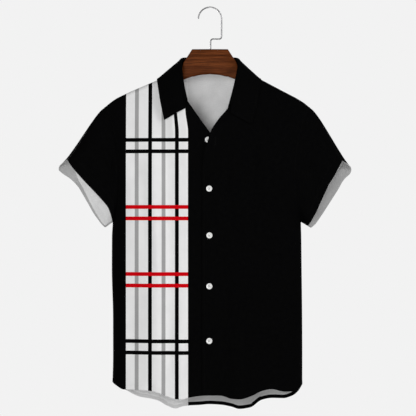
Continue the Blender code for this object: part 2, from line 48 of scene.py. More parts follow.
# ------------------------------ cloth and its edges
CLOTH = 0.8              # thickness of the cloth
SEAM_GAP = 0.1           # between front and back along their seams
OVERLAP_LIFT = 2.3       # the left front lies this far in front of the right front
LOOSE_LIFT = 6.5         # the same where the band isn't buttoned
OVERLAP_FADE = (16.0, 42.0)      # across, where the left front comes down to its own place
LOOSE_HEIGHTS = (-350.0, -290.0, -262.0, -217.0)     # it comes loose between two, and is back between two
HEM_TURN = 10.0          # height of the turned hem
EDGE_TURN = 26.0         # width of the facing inside the open edges
EDGE_BULK = 0.8          # and its thickness, as a share of the hem's
CUFF_TURN = 19.0         # height of the cuff's turned hem
CUFF_STITCH = 18.0       # from the cuff to its row of stitches
CUFF_MOST = 0.8          # the turned hem takes at most this share of the sleeve's length
TURN_OUT = 0.25          # a turned edge is this much thicker outwards
TURN_IN = 0.6            # and this much inwards
GROOVE = 0.4             # depth of the groove under a row of stitches
GROOVE_WIDTH = 1.3
TURN_STEP = 1.4          # width of the step where a turned edge ends
FAR = 30.0               # a distance from the edge that no turned edge reaches
RIM_BULGE = 0.3          # how round a free edge is, as a share of its thickness
BLACK_HEM = 6.0          # on the inside, this much of the back's hem shows the printed side
HEM_FOLD = 0.5           # and this much of the fronts' hem

# ------------------------------ body
CENTRE = -1.0            # across, of the body's middle
RIGHT_EDGE = 15.0        # the right front's edge, under the buttons
LEFT_EDGE = -16.0        # the left front's open edge, beside the buttons
NECK_EDGES = dict(right=(-46.0, RIGHT_EDGE), left=(LEFT_EDGE, 37.0))     # from and to, across
ARMPIT_HEIGHT = -449.0
HEM_MIDDLE = -815.0
RIDGE_RADIUS = 8.5       # of the cloth over the hanger's arms
SHOULDER_EASE = 230.0    # below the shoulders, the height in which the body gets its full depth
SECTION_POWER = 3.0      # these two make the body's sides round
SECTION_ROOT = 2.4
BODY_SECTIONS = dict(
    height=(-850, -791, -735, -650, -545, -480, -449, -390, -340, -290, -245, -211, -120),
    right=(202.5, 203.3, 202.2, 202.3, 204.8, 204.5, 203, 207, 214, 223, 233, 244, 262),
    left=(194.4, 194.4, 194.5, 194.2, 193, 192.3, 191.5, 196, 203, 212, 222, 232, 250),
    front=(58, 58, 57, 56, 55, 54, 54, 54, 54, 54, 54, 54, 54),
    back=(57, 57, 56, 54, 52, 50, 50, 50, 50, 50, 50, 50, 50),
)
SHOULDER_SEAM = dict(
    across=(-222, -209, -196, -168, -111, -92, -76, -62, 62, 90, 105, 152, 182, 198, 210),
    height=(-210.5, -199.2, -190.2, -176.8, -152.6, -143.0, -132.0, -124.5, -124.5, -142.2, -149.8, -174.8,
            -190.2, -200.2, -210.5),
)
SHOULDER_SOFTENING = (-4, -2, 0, 2, 4)   # the seam is a mean of its heights this far aside
ARMHOLES = dict(
    way=(0.0, 0.08, 0.2, 0.4, 0.6, 0.8, 1.0),
    right=(-204, -200.5, -196, -193.5, -197, -207.5, -222),
    left=(190.5, 188, 184, 182, 186, 196, 210),
    height=(-449, -434, -406, -352, -300, -252, -210.5),
)
HEM = dict(
    across=(-204, -198, -180, -150, -122, -109, -91, -73, -58, -45, -20, -3, 22, 45, 62, 85, 110, 130, 155,
            173, 186, 192.5),
    front=(-785, -790, -799, -799.5, -801.5, -804.5, -811.5, -817.5, -818.5, -815, -811.5, -810.5, -810.5,
           -817, -818, -812, -801, -798, -803, -803, -799.5, -790),
    back=(-786, -791, -802, -818, -823, -827, -838, -844.5, -840, -838, -836, -834.5, -836, -840.5, -845.5,
          -842, -825, -821, -821.5, -816, -805, -791),
)
RIGHT_FRONT_TOP = dict(
    across=(-62, -60, -56, -51, -46, -33, -16, -2, 5, 15),
    height=(-124.5, -151, -175, -190.5, -198, -216.5, -241, -260, -270, -284),
)
LEFT_FRONT_TOP = dict(
    across=(-16, -14, -10, -5, -1, 3, 12, 21, 30, 37, 43, 50, 56, 60, 62),
    height=(-345, -322, -299, -284, -266, -256, -243, -231, -221, -212, -201, -184, -164, -144, -124.5),
)
BACK_NECK = dict(
    across=(-62, -60, -56, -40, -20, -1, 18, 38, 55, 60, 62),
    height=(-124.5, -128.5, -131, -133, -134, -134.2, -134, -133, -131, -128.5, -124.5),
)
TOPS = dict(right=RIGHT_FRONT_TOP, left=LEFT_FRONT_TOP, back=BACK_NECK)
FRONT_FOLDS = dict(
    hem=(-164, -113, -68, -4, 60, 124, 166),
    chest=(-160, -114, -62, -8, 52, 108, 150),
    width=(20, 24, 22, 28, 24, 26, 18),
    depth=(-4, 5, 8, -6, 9, -9, 5),
    top=(-230, -180, -420, -480, -400, -430, -540),
)
BACK_FOLDS = dict(
    hem=(-160, -118, -70, -8, 60, 122, 162),
    chest=(-140, -100, -54, 0, 55, 104, 140),
    width=(20, 22, 26, 30, 26, 24, 18),
    depth=(5, -8, 9, -8, 9, -9, 5),
    top=(-520, -420, -330, -300, -350, -430, -540),
)
FOLDS = dict(front=FRONT_FOLDS, back=BACK_FOLDS)
SIDES = dict(right=("right",), left=("left",), back=("right", "left"))   # which sides each piece reaches
NECK_PUSH = dict(         # the neck stands out a little from the hanger
    depth=13.0,
    width=85.0,
    tall=62.0,
    front=-205.0,
    back=-150.0,
    start=30.0,
)

# Creases, given one by one: from one place to another, across and in height, how far they bow sideways, their
# half width, and how far they stand out
FRONT_CREASES = dict(
    start=((-92, -215), (-125, -200), (-118, -150), (-78, -205), (-46, -215), (-192, -402), (-186, -436),
           (-160, -560), (-124, -770), (-60, -560), (120, -205), (88, -232), (60, -262), (182, -398),
           (178, -434), (150, -500), (186, -556), (72, -520), (100, -640), (2, -380), (2, -478), (2, -584),
           (-20, -640)),
    end=((-74, -850), (-104, -800), (-108, -240), (-70, -300), (-44, -380), (-128, -330), (-112, -418),
         (-158, -800), (-118, -840), (-52, -840), (128, -520), (70, -540), (44, -480), (118, -330),
         (100, -416), (128, -770), (116, -604), (92, -780), (160, -700), (62, -404), (70, -500), (64, -602),
         (-38, -800)),
    bow=(5, -6, 2, 3, 2, -8, -6, 5, 3, -4, 5, -5, 4, 8, 6, -5, 6, 5, 4, 3, -3, 3, 4),
    width=(18, 16, 9, 9, 12, 11, 9, 14, 9, 14, 16, 15, 12, 11, 9, 15, 12, 14, 13, 7, 7, 7, 13),
    depth=(-7.6, 6.2, -2.4, 3.0, 2.4, -2.4, 1.8, -2.4, -3.0, 2.6, 3.6, -3.2, 2.2, -2.6, 2.0, -3.2, -2.2,
           -3.2, 2.4, -1.0, 0.9, -1.0, -2.4),
)
BACK_CREASES = dict(
    start=((-96, -205), (-150, -225), (-52, -190), (-192, -398), (-186, -436), (-140, -520), (-40, -420),
           (98, -208), (146, -228), (54, -190), (182, -396), (178, -434), (138, -520), (32, -430), (0, -560),
           (-100, -640), (96, -640)),
    end=((-62, -520), (-132, -500), (-40, -460), (-96, -310), (-104, -414), (-160, -770), (-58, -760),
         (70, -500), (128, -500), (44, -450), (94, -306), (96, -416), (158, -770), (56, -740), (12, -800),
         (-82, -800), (78, -800)),
    bow=(6, -5, 4, 9, -6, 6, -5, -6, 5, -4, -9, 6, -6, 5, 4, 4, -4),
    width=(17, 15, 14, 12, 10, 16, 16, 17, 14, 14, 12, 10, 16, 16, 15, 13, 13),
    depth=(3.2, -3.0, -2.4, -2.8, 2.2, 3.0, -3.2, 3.4, -3.0, -2.2, -2.8, 2.2, 2.8, -3.0, 2.8, -2.6, 2.4),
)
CREASES = dict(front=FRONT_CREASES, back=BACK_CREASES)
SLEEVE_CREASES = dict(
    right=dict(
        start=((-200, -300), (-204, -430), (-206, -446), (-214, -250), (-226, -290)),
        end=((-262, -398), (-262, -352), (-238, -400), (-286, -318), (-244, -420)),
        bow=(-6, -7, -5, -5, 6),
        width=(12, 9, 8, 12, 11),
        depth=(-2.6, -2.4, 1.8, 2.2, 2.0),
    ),
    left=dict(
        start=((188, -300), (190.7, -444), (194, -452), (202, -250), (214, -288)),
        end=((252, -404), (240, -384), (226, -412), (272, -316), (232, -420)),
        bow=(6, 9, 5, 5, -6),
        width=(12, 7, 8, 12, 11),
        depth=(-2.6, -2.6, 1.8, 2.2, 2.0),
    ),
)
CREASE_TAPER = 0.34      # share of a crease's length in which each end dies out
CREASE_LEAST = 0.3       # creases fade where the body has less than this share of its depth

# Slight unevenness of the hanging cloth: wave lengths across and down, and its height
WAVES = dict(across=(61, 47, 83, 37), down=(390, 270, 520, 190), height=(0.5, 0.35, 0.45, 0.25),
             phase=(0.4, 1.9, 3.1, 5.2))

# ------------------------------ sleeves
CUFFS = dict(
    right=((-309.5, -326.0), (-213.5, -455.5)),
    left=((288.7, -328.0), (210.0, -460.0)),
)
CUFF_EDGES = dict(
    way=(0.0, 0.1, 0.24, 0.37, 0.5, 0.65, 0.8, 0.92, 1.0),
    right_front=(-12.5, -11.5, -13, -15, -17.5, -20.5, -22, -17, -11),
    right_back=(17, 13.5, 6, 3.5, 5, 8.5, 11, 11, 9),
    left_front=(-13, -12.5, -11.5, -12, -10.5, -7.5, -5, -4.5, -5.5),
    left_back=(23, 15, 10.2, 10.8, 10, 9.5, 8.5, 7, 3),
)
CUFF_DEPTH = 25.0        # from the middle to the front and to the back
CUFF_SQUARENESS = 0.36
CUFF_TWIST = 1.78        # how quickly the front's edge goes over into the back's
CUFF_TWIST_TOP = dict(right=0.6, left=1.0)   # at the fold on top, the cuff's edge is more the front's
SEAM_TUCK = 0.7          # the sleeve's first row lies this far inside the armhole
CUFF_BAND = dict(        # share of the turned hem's height that shows inside the back of each cuff, and so how far its painted shade reaches
    way=(0.0, 0.06, 0.13, 0.2, 0.27, 0.35, 0.52, 0.7, 0.85, 1.0),
    right=(1.9, 1.7, 1.3, 0.95, 0.6, 0.38, 0.27, 0.22, 0.16, 0.14),
    left=(1.3, 1.3, 1.2, 1.15, 1.15, 1.15, 1.15, 1.15, 1.15, 1.15),
)
SLEEVE_START = dict(right=(-0.883, -0.469), left=(0.891, -0.454))    # the way it leaves the armhole
SLEEVE_PULL = dict(right=(77.0, 80.0), left=(80.0, 30.0))            # how strongly, there and at the cuff
SLEEVE_PULL_SHARE = 0.6  # and at most this share of the sleeve's length
SLEEVE_FADE = dict(seam=8, cuff=10, least=0.15)  # rows in which its creases fade out

# ------------------------------ collar
COLLAR = dict(           # each half from the middle of the back to its front end
    way=(0.0, 0.2, 0.36, 0.43, 0.5, 0.56, 0.64, 0.8, 1.0),
    right_seam_across=(-1, -32, -55, -60, -62, -61.5, -60.2, -55.5, -46.5),
    right_seam_height=(-134.2, -133.4, -131.2, -128.7, -124.5, -133, -151, -180, -200.5),
    right_fold_across=(-1, -31, -53, -58, -59, -58.5, -57, -53.0, -47.5),
    right_fold_depth=(22, 21, 14, 6, -5, -19, -31, -44, -51.0),
    right_fold_height=(-104, -104, -105.5, -109, -114, -123, -140, -168, -193),
    right_edge_across=(-1, -52, -94, -106, -111, -111, -109.5, -104, -95.5),
    right_edge_depth=(34, 32, 22, 12, 0, -11, -20, -36, -45),
    right_edge_height=(-168, -167, -157, -152, -149.5, -152, -161, -196, -236),
    left_seam_across=(-1, 30, 54, 60, 62, 61.3, 58.5, 50, 37.5),
    left_seam_height=(-134.2, -133.4, -131.2, -128.7, -124.5, -133, -152, -184, -211.5),
    left_fold_across=(-1, 29, 52, 57, 58.5, 58, 55, 47.5, 39.5),
    left_fold_depth=(22, 21, 14, 6, -5, -19, -31, -45, -52.0),
    left_fold_height=(-104, -104, -105.5, -109, -114, -123, -141, -174, -204),
    left_edge_across=(-1, 50, 91, 102, 106.5, 107, 105, 99, 88),
    left_edge_depth=(34, 32, 22, 12, 0, -11, -20, -36, -45),
    left_edge_height=(-168, -167, -157, -152.2, -150.0, -152.2, -163, -202, -246),
)
COLLAR_CLOTH = 1.4       # the collar is two layers with a stiffening between them
COLLAR_ROLL = 2.6        # radius of its fold
COLLAR_CLEAR = 1.45      # the fall stays this far from the middle of the body's cloth
COLLAR_BOW = dict(right=1.1, left=0.3)   # the right half of the collar bulges a little over the shoulder
COLLAR_LIFT = 1.2        # the stand begins this far above the neck's edge
SHOULDER_LIFT = 1.6      # and this much more at the shoulder seams
SHOULDER_LIFT_WAY = (0.48, 0.1)          # middle and width, along each half
LEADING_EDGE_DROP = 15.0         # towards the front ends the fall's start hangs down
LEADING_EDGE_SHIFT = 3.6         # and goes inwards
LEADING_EDGE_WAY = 0.8
LEADING_EDGE_START = 0.055       # share of the fall below the fold in which the drop begins
COLLAR_STITCH = 5.0      # from the collar's edge to its row of stitches

# ------------------------------ print
STRIPE = (-175.6, -45.9)         # edges of the white stripe across the right front and the back
STRIPE_PULL = 5.6                # near the collar its inner edge leans this far to the right side
STRIPE_PULL_HEIGHTS = (-262.0, -214.0)
STRIPE_PULL_ACROSS = (-100.0, -50.0)
BAR = 8.0                        # width of a bar of the check
UPRIGHT_BARS = dict(across=(-153.0, -125.0, -97.0, -69.0), colour=("grey", "black", "grey", "black"))
LEVEL_BARS = dict(
    height=(-278, -302, -418, -442, -558, -582, -698, -722),
    colour=("black", "black", "red", "red", "red", "red", "black", "black"),
)

# ------------------------------ buttons
BUTTONS = dict(
    across=(-4.2, -1.5, -1.5, -1.5, -1.3),
    height=(-277.8, -379.7, -477.3, -583.2, -697.2),
)
BUTTON_WELL = 3.5        # radius of its flat middle
BUTTON_RIM = dict(       # outside of the middle: out, up the rim, round and under
    radius=(3.5, 3.9, 4.5, 5.2, 5.8, 6.2, 6.35, 6.2, 5.7, 3.5),
    height=(0.95, 1.15, 1.9, 2.35, 2.3, 1.9, 1.25, 0.5, 0.1, 0.0),
)
BUTTON_SIDES = 48
BUTTON_HOLE = 0.95       # radius of a hole
BUTTON_HOLE_SIDES = 14
BUTTON_HOLE_TURNS = (45, 135, 225, 315)
BUTTON_HOLE_PLACE = 1.75
BUTTON_FLOOR = 0.95      # thickness of the flat middle
SORTING = Vector((1.0, 1.37, 1.73))      # no two vertices or faces lie equally far this way
BUTTON_GAP = 0.55        # between a button and the cloth
STRAND = (1.75, 0.24, 0.3)       # half length, half width and half height of a strand of its thread
STRAND_ASIDE = 0.22
STRAND_RISE = 0.2
BUTTONHOLE = dict(height=15.5, aside=0.806, stitches=23, lift=0.32, half_size=(0.936, 0.3, 0.26))
BUTTONHOLE_END = dict(up=8.215, lift=0.34, half_size=(1.95, 0.55, 0.34))     # above and below the middle
LOOSE_BUTTONHOLE = (10.5, -281.0)        # the one of the button that isn't fastened

# ------------------------------ stitches
STITCH_PITCH = 3.0
STITCH = (1.15, 0.3, 0.26)   # half length, half width, half height
STITCH_SINK = 0.12       # a stitch's middle lies this far above the floor of its groove
HEM_STITCH = 9.0         # from the hem to its row of stitches
HEM_STITCHES = dict(right=(-198, 12), left=(-13, 187), back=(-198, 187))     # from and to, across
EDGE_STITCH = 4.0        # from an open edge to its row of stitches
BAND_STITCHES = dict(above_hem=8.0, top=-350.0)      # the straight row of the button band
ARMHOLE_STITCH = 5.0

# ------------------------------ hanger
HANGER = dict(
    across=(0, 20, 37.5, 56.5, 58.5, 64, 85, 111, 140, 168, 186, 194, 199),
    tall=(52.6, 54.2, 57.6, 35.0, 24.5, 23.5, 23, 23, 22.5, 22, 20, 16, 10.5),
)
HANGER_MIDDLE = dict(across=(0, 37.5, 56.5, 58.5), top=(-86.6, -86.8, -116.0, -127.0))
HANGER_CLEAR = 2.4       # from the shoulder seam down to the arms
HANGER_THICK = 11.0
HANGER_STEP = 4.0        # from one cross section to the next
HANGER_EDGE = 4.4        # radius of its rounded edges
HANGER_CORNER = 6        # edges in each rounded corner
WIRE_RADIUS = 1.4
HOOK_RADIUS = 24.3       # to the middle of the wire
HOOK_STEM = (1.3, -97.0)         # its foot in the wood, across and in height
HOOK_STEM_TOP = -78.4
HOOK_JOG_HEIGHT = -65.4  # where the wire runs level from the stem to the hook
HOOK_BEND = 5.0          # radius of the two bends there
HOOK_END = 177.0         # degrees that the hook goes round
HOOK_TIP = dict(         # how far past the hook's end, and the radius as a share of the wire's
    ahead=(0.45, 0.85, 1.15, 1.32),
    radius=(0.92, 0.75, 0.5, 0.2),
)

# ------------------------------ rows, columns and points of lines
POINTS = dict(neck=40, hem=90, hem_stitches=120, band=80, sleeve=90, fall=60, bend=12, hook=80)
STRIP_PLACE = 500.0      # where sleeves and collar lie across the flat cloth, far from the stripe
SLOPE_STEP = 0.05        # the cloth's slope is measured over this step
HEM_ROWS = (0, 0.7, 2.2, 4.5, 7, 8.6, 9.6, 10.6, 12, 15, 19)
LOW_ROWS = 96            # up to the armpit
UP_ROWS = 78             # from there to the shoulder
UP_CROWDING = 1.5
SIDE_CROWDING = 1.6
LEAN_POWER = 3           # how late the sides' columns lean to the shoulder seam and the hem
COLUMN_STEP = 3.0
STRAIGHT_COLUMNS = (-176.0, 162.0)       # beyond these places the columns lean into the sides
SIDE_COLUMNS = 16
BAND_COLUMNS = (0, 0.7, 2, 3, 4, 5, 6, 8, 10.5)
NECK_COLUMNS = (62, 61.7, 61.4, 61, 60.5, 60, 59, 58, 57, 56, 54.5, 53, 51)
SLEEVE_ROWS = 44
CUFF_ROWS = (24, 21.5, 20, 19, 18, 16.6, 13, 9, 5, 2, 0.7, 0)
COLLAR_COLUMNS = 66
STAND_ROWS = 9
ROLL_ANGLES = (150, 130, 108, 85, 62, 40, 20)
FALL_ROWS = 22
STAND_SHARE = 0.94       # where the stand ends and the roll begins
COLLAR_END_WAYS = (0.965, 0.972, 0.979, 0.986, 0.992, 0.997, 1.0)        # columns close to each front end
EDGE_ROWS = (7, 6, 5, 4, 2.6, 0.9, 0)


# ============================== shape of the cloth
def curve_between(start, leave, end, arrive, t):
    """From start to end while t goes from 0 to 1, with these slopes at both ends."""
    return (start * (1 + 2 * t) * (1 - t) ** 2 + leave * t * (1 - t) ** 2
            + end * t * t * (3 - 2 * t) + arrive * t * t * (t - 1))


def smooth(table_x, table_y, x):
    """Smooth curve through a table's points, which never swings past them."""
    table_x, table_y = np.asarray(table_x, float), np.asarray(table_y, float)
    step, slope = np.diff(table_x), np.diff(table_y) / np.diff(table_x)
    bend = slope[:-1] * slope[1:]
    inner = np.where(bend > 0, 2 * bend / np.where(bend > 0, slope[:-1] + slope[1:], 1), 0.0)
    tangent = np.concatenate([slope[:1], inner, slope[-1:]])
    x = np.clip(x, table_x[0], table_x[-1])
    i = np.clip(np.searchsorted(table_x, x, side="right") - 1, 0, len(step) - 1)
    t = (x - table_x[i]) / step[i]
    return curve_between(table_y[i], tangent[i] * step[i], table_y[i + 1], tangent[i + 1] * step[i], t)


def straight(table_x, table_y, x):
    return np.interp(x, table_x, table_y)


def ease(x):
    x = np.clip(x, 0.0, 1.0)
    return x * x * (3 - 2 * x)


def unit(v):
    return v / np.maximum(np.linalg.norm(v, axis=-1, keepdims=True), 1e-12)


def column(table, name, key, x):
    return smooth(table[key], table[name], x)


def rows_of(table, *names):
    """The rows of a table, as the values of its columns of these names."""
    return zip(*(table[name] for name in names))


def run_along(line):
    """Distance from the start to each point of a line, or of each line of a grid."""
    steps = np.linalg.norm(np.diff(line, axis=0), axis=-1)
    return np.concatenate([steps[:1] * 0, np.cumsum(steps, axis=0)])


def values_at(distances, run, values):
    """Values along a line, read at these distances from its start."""
    return np.stack([np.interp(distances, run, values[:, k]) for k in range(3)], -1)


def resample(line, distances):
    """Points of a line at these distances from its start."""
    return values_at(distances, run_along(line), line)


def shoulder_height(x):
    """Height of the shoulder seam, with its corners softened."""
    x = np.asarray(x, float)
    seam = [np.interp(x + o, SHOULDER_SEAM["across"], SHOULDER_SEAM["height"]) for o in SHOULDER_SOFTENING]
    return np.mean(seam, axis=0)


def fold_depth(folds, x, z):
    """Long folds that widen out from the chest to the hem."""
    total = np.zeros(np.broadcast(x, z).shape)
    for hem, chest, width, depth, top in rows_of(folds, "hem", "chest", "width", "depth", "top"):
        down = (z - top) / (HEM_MIDDLE - top)
        place = chest + (hem - chest) * np.clip(down, 0, 1)
        total += depth * ease(down) * np.exp(-((x - place) / width) ** 2)
    return total


def crease_depth(creases, x, z):
    """Soft ridges and troughs that die out at both ends."""
    total = np.zeros(np.broadcast(x, z).shape)
    for start, end, bow, width, depth in rows_of(creases, "start", "end", "bow", "width", "depth"):
        run, fall = end[0] - start[0], end[1] - start[1]
        length = math.hypot(run, fall)
        along = ((x - start[0]) * run + (z - start[1]) * fall) / length ** 2
        bowed = bow * 4 * np.clip(along, 0, 1) * (1 - np.clip(along, 0, 1))
        side = ((x - start[0]) * fall - (z - start[1]) * run) / length - bowed
        fade = ease(along / CREASE_TAPER) * ease((1 - along) / CREASE_TAPER)
        total += depth * fade * np.exp(-(side / width) ** 2)
    return total


def unevenness(x, z):
    """The slight waves of hanging cloth."""
    total = 0.0
    for across, down, height, phase in rows_of(WAVES, "across", "down", "height", "phase"):
        total = total + height * np.sin(2 * math.pi * (x / across + z / down) + phase)
    return total


def depth_at(face, x, z):
    """How far the middle of the cloth is from the plane of the hanger, in front or at the back."""
    x, z = np.broadcast_arrays(np.asarray(x, float), np.asarray(z, float))
    heights = BODY_SECTIONS["height"]
    right, left = (smooth(heights, BODY_SECTIONS[side], z) for side in ("right", "left"))
    share = np.clip(np.abs(x - CENTRE) / np.where(x < CENTRE, right, left), 0, 1 - 1e-9)
    round_side = (1 - share ** SECTION_POWER) ** (1 / SECTION_ROOT)
    section = smooth(heights, BODY_SECTIONS[face], z) + fold_depth(FOLDS[face], x, z)
    drop = np.maximum(shoulder_height(x) - z, 0.0)
    grown = 1 - (1 - np.clip(drop / SHOULDER_EASE, 0, 1)) ** 2
    creased = crease_depth(CREASES[face], x, z) + unevenness(x, z)
    section = section + creased / np.maximum(grown, CREASE_LEAST)
    ridge = RIDGE_RADIUS * np.sqrt(1 - (1 - np.clip(drop / RIDGE_RADIUS, 0, 1)) ** 2)
    push = NECK_PUSH["depth"] * ease(drop / NECK_PUSH["start"]) * np.exp(-(x / NECK_PUSH["width"]) ** 2)
    push = push * np.exp(-((z - NECK_PUSH[face]) / NECK_PUSH["tall"]) ** 2)
    full = section * round_side
    low = np.minimum(ridge, full)
    return low + (full - low) * grown + push * round_side


def cloth_point(face, x, z, lift, with_normal=False):
    """Point of the cloth's middle surface, moved out by lift along the surface's normal."""
    x, z = np.broadcast_arrays(np.asarray(x, float), np.asarray(z, float))
    depth = depth_at(face, x, z)
    inward = np.where(x < CENTRE, SLOPE_STEP, -SLOPE_STEP)
    along_x = (depth_at(face, x + inward, z) - depth) / inward
    along_z = (depth - depth_at(face, x, z - SLOPE_STEP)) / SLOPE_STEP
    out = -1.0 if face == "front" else 1.0
    normal = unit(np.stack([-along_x, np.full(x.shape, out), -along_z], -1))
    point = np.stack([x, out * np.maximum(depth, SEAM_GAP / 2), z], -1) + normal * np.asarray(lift)[..., None]
    return (point, normal) if with_normal else point


def overlap_lift(x, z):
    """The left front lies on the right front, and stands off more where it isn't buttoned."""
    start, end = OVERLAP_FADE
    begins, full, ends, gone = LOOSE_HEIGHTS
    loose = ease((z - begins) / (full - begins)) * (1 - ease((z - ends) / (gone - ends)))
    lift = OVERLAP_LIFT + (LOOSE_LIFT - OVERLAP_LIFT) * loose
    return lift * (1 - ease((x - start) / (end - start)))


def front_lift(side, x, z):
    return overlap_lift(x, z) if side == "left" else np.zeros(np.broadcast(x, z).shape)


def top_height(side, x):
    """Height of the upper edge of a front or the back: its neck, or else the shoulder seam."""
    top = TOPS[side]
    inside = (side == "left" or x >= top["across"][0]) and (side == "right" or x <= top["across"][-1])
    return column(top, "height", "across", x) if inside else shoulder_height(x)


# ============================== grids of the body
LOW_COUNT = len(HEM_ROWS) + LOW_ROWS - 1
UP_WAYS = 1 - (1 - np.linspace(0, 1, UP_ROWS)) ** UP_CROWDING


def low_heights(hem):
    """From the hem up to the armpit, with rows close together at the turned hem."""
    turned = hem + np.array(HEM_ROWS, float)
    return np.concatenate([turned[:-1], np.linspace(turned[-1], ARMPIT_HEIGHT, LOW_ROWS + 1)[:-1]])


def straight_column(x, hem, top):
    heights = np.concatenate([low_heights(hem), ARMPIT_HEIGHT + (top - ARMPIT_HEIGHT) * UP_WAYS])
    return np.stack([np.full(heights.shape, float(x)), heights], -1)


def side_column(side, face):
    """Side seam from the hem to the armpit, then the armhole up to the shoulder."""
    sign = -1 if side == "right" else 1
    low = low_heights(column(HEM, face, "across", HEM["across"][0 if side == "right" else -1]))
    seam = np.stack([CENTRE + sign * column(BODY_SECTIONS, side, "height", low), low], -1)
    arm = np.stack([column(ARMHOLES, part, "way", UP_WAYS) for part in (side, "height")], -1)
    return np.concatenate([seam, arm])


def side_grid(side, face, inner):
    """Columns between the last straight column and the side, closer together where the body turns."""
    edge = side_column(side, face)
    up = np.concatenate([np.zeros(LOW_COUNT), UP_WAYS]) ** LEAN_POWER
    down = np.concatenate([1 - np.arange(LOW_COUNT) / LOW_COUNT, np.zeros(UP_ROWS)]) ** LEAN_POWER
    columns = []
    for way in 1 - (1 - np.arange(1, SIDE_COLUMNS + 1) / SIDE_COLUMNS) ** SIDE_CROWDING:
        line = inner * (1 - way) + edge * way
        line[:, 1] += (shoulder_height(line[-1, 0]) - line[-1, 1]) * up
        line[:, 1] += (column(HEM, face, "across", line[0, 0]) - line[0, 1]) * down
        columns.append(line)
    return columns


def spread(start, end):
    """Evenly spread places from start to end, about a column step apart, without the end."""
    return list(np.linspace(start, end, max(2, round(abs(end - start) / COLUMN_STEP) + 1))[:-1])


def panel_columns(side):
    """Places across of the straight columns, close together at an open edge and at the neck."""
    start, end = STRAIGHT_COLUMNS
    neck = [float(x) for x in NECK_COLUMNS]
    outer, inner = neck[0], neck[-1]
    right_shoulder = spread(start, -outer) + [-x for x in neck[:-1]]
    left_shoulder = neck[:0:-1] + spread(outer, end) + [end]
    if side == "right":
        return right_shoulder + spread(-inner, RIGHT_EDGE) + [RIGHT_EDGE]
    if side == "left":
        band = [x + LEFT_EDGE for x in BAND_COLUMNS]
        return band[:-1] + spread(band[-1], inner) + left_shoulder
    return right_shoulder + spread(-inner, inner) + left_shoulder


def panel_grid(face, side, columns):
    grid = [straight_column(x, column(HEM, face, "across", x), top_height(side, x)) for x in columns]
    if "right" in SIDES[side]:
        grid = side_grid("right", face, grid[0])[::-1] + grid
    if "left" in SIDES[side]:
        grid = grid + side_grid("left", face, grid[-1])
    return np.array(grid)


def edge_distance(grid, line):
    """Distance of each grid place from a line of places."""
    places = grid.reshape(-1, 2)
    found = np.full(len(places), np.inf)
    for a, b in zip(line[:-1], line[1:]):
        run = b - a
        t = np.clip(((places - a) @ run) / (run @ run), 0, 1)
        found = np.minimum(found, np.linalg.norm(places - a - t[:, None] * run, axis=1))
    return found.reshape(grid.shape[:2])


def groove(distance, stitch):
    """Depth of the groove under a row of stitches that is this far from the edge."""
    return GROOVE * np.exp(-((distance - stitch) / GROOVE_WIDTH) ** 2)


def turned(distance, height, stitch, bulk=1.0):
    """How much a turned edge adds outwards and inwards, with the groove of its stitches."""
    there = bulk * (1 - ease((distance - height) / TURN_STEP))
    return TURN_OUT * there - groove(distance, stitch), TURN_IN * there


def neck_line(side):
    """The open edge of a front: along its neck, and straight down to the hem."""
    start, end = NECK_EDGES[side]
    across = np.linspace(start, end, POINTS["neck"])
    line = np.stack([across, column(TOPS[side], "height", "across", across)], -1)
    edge = end if side == "right" else start
    low = [[edge, column(HEM, "front", "across", edge)]]
    return np.concatenate([line, low] if side == "right" else [low, line])


# ============================== meshes
def new_object(name, data):
    obj = bpy.data.objects.new(name, data)
    bpy.context.scene.collection.objects.link(obj)
    return obj


def grid_normals(grid, wrap):
    across = np.roll(grid, -1, 0) - np.roll(grid, 1, 0) if wrap else np.gradient(grid, axis=0)
    return unit(np.cross(across, np.gradient(grid, axis=1)))


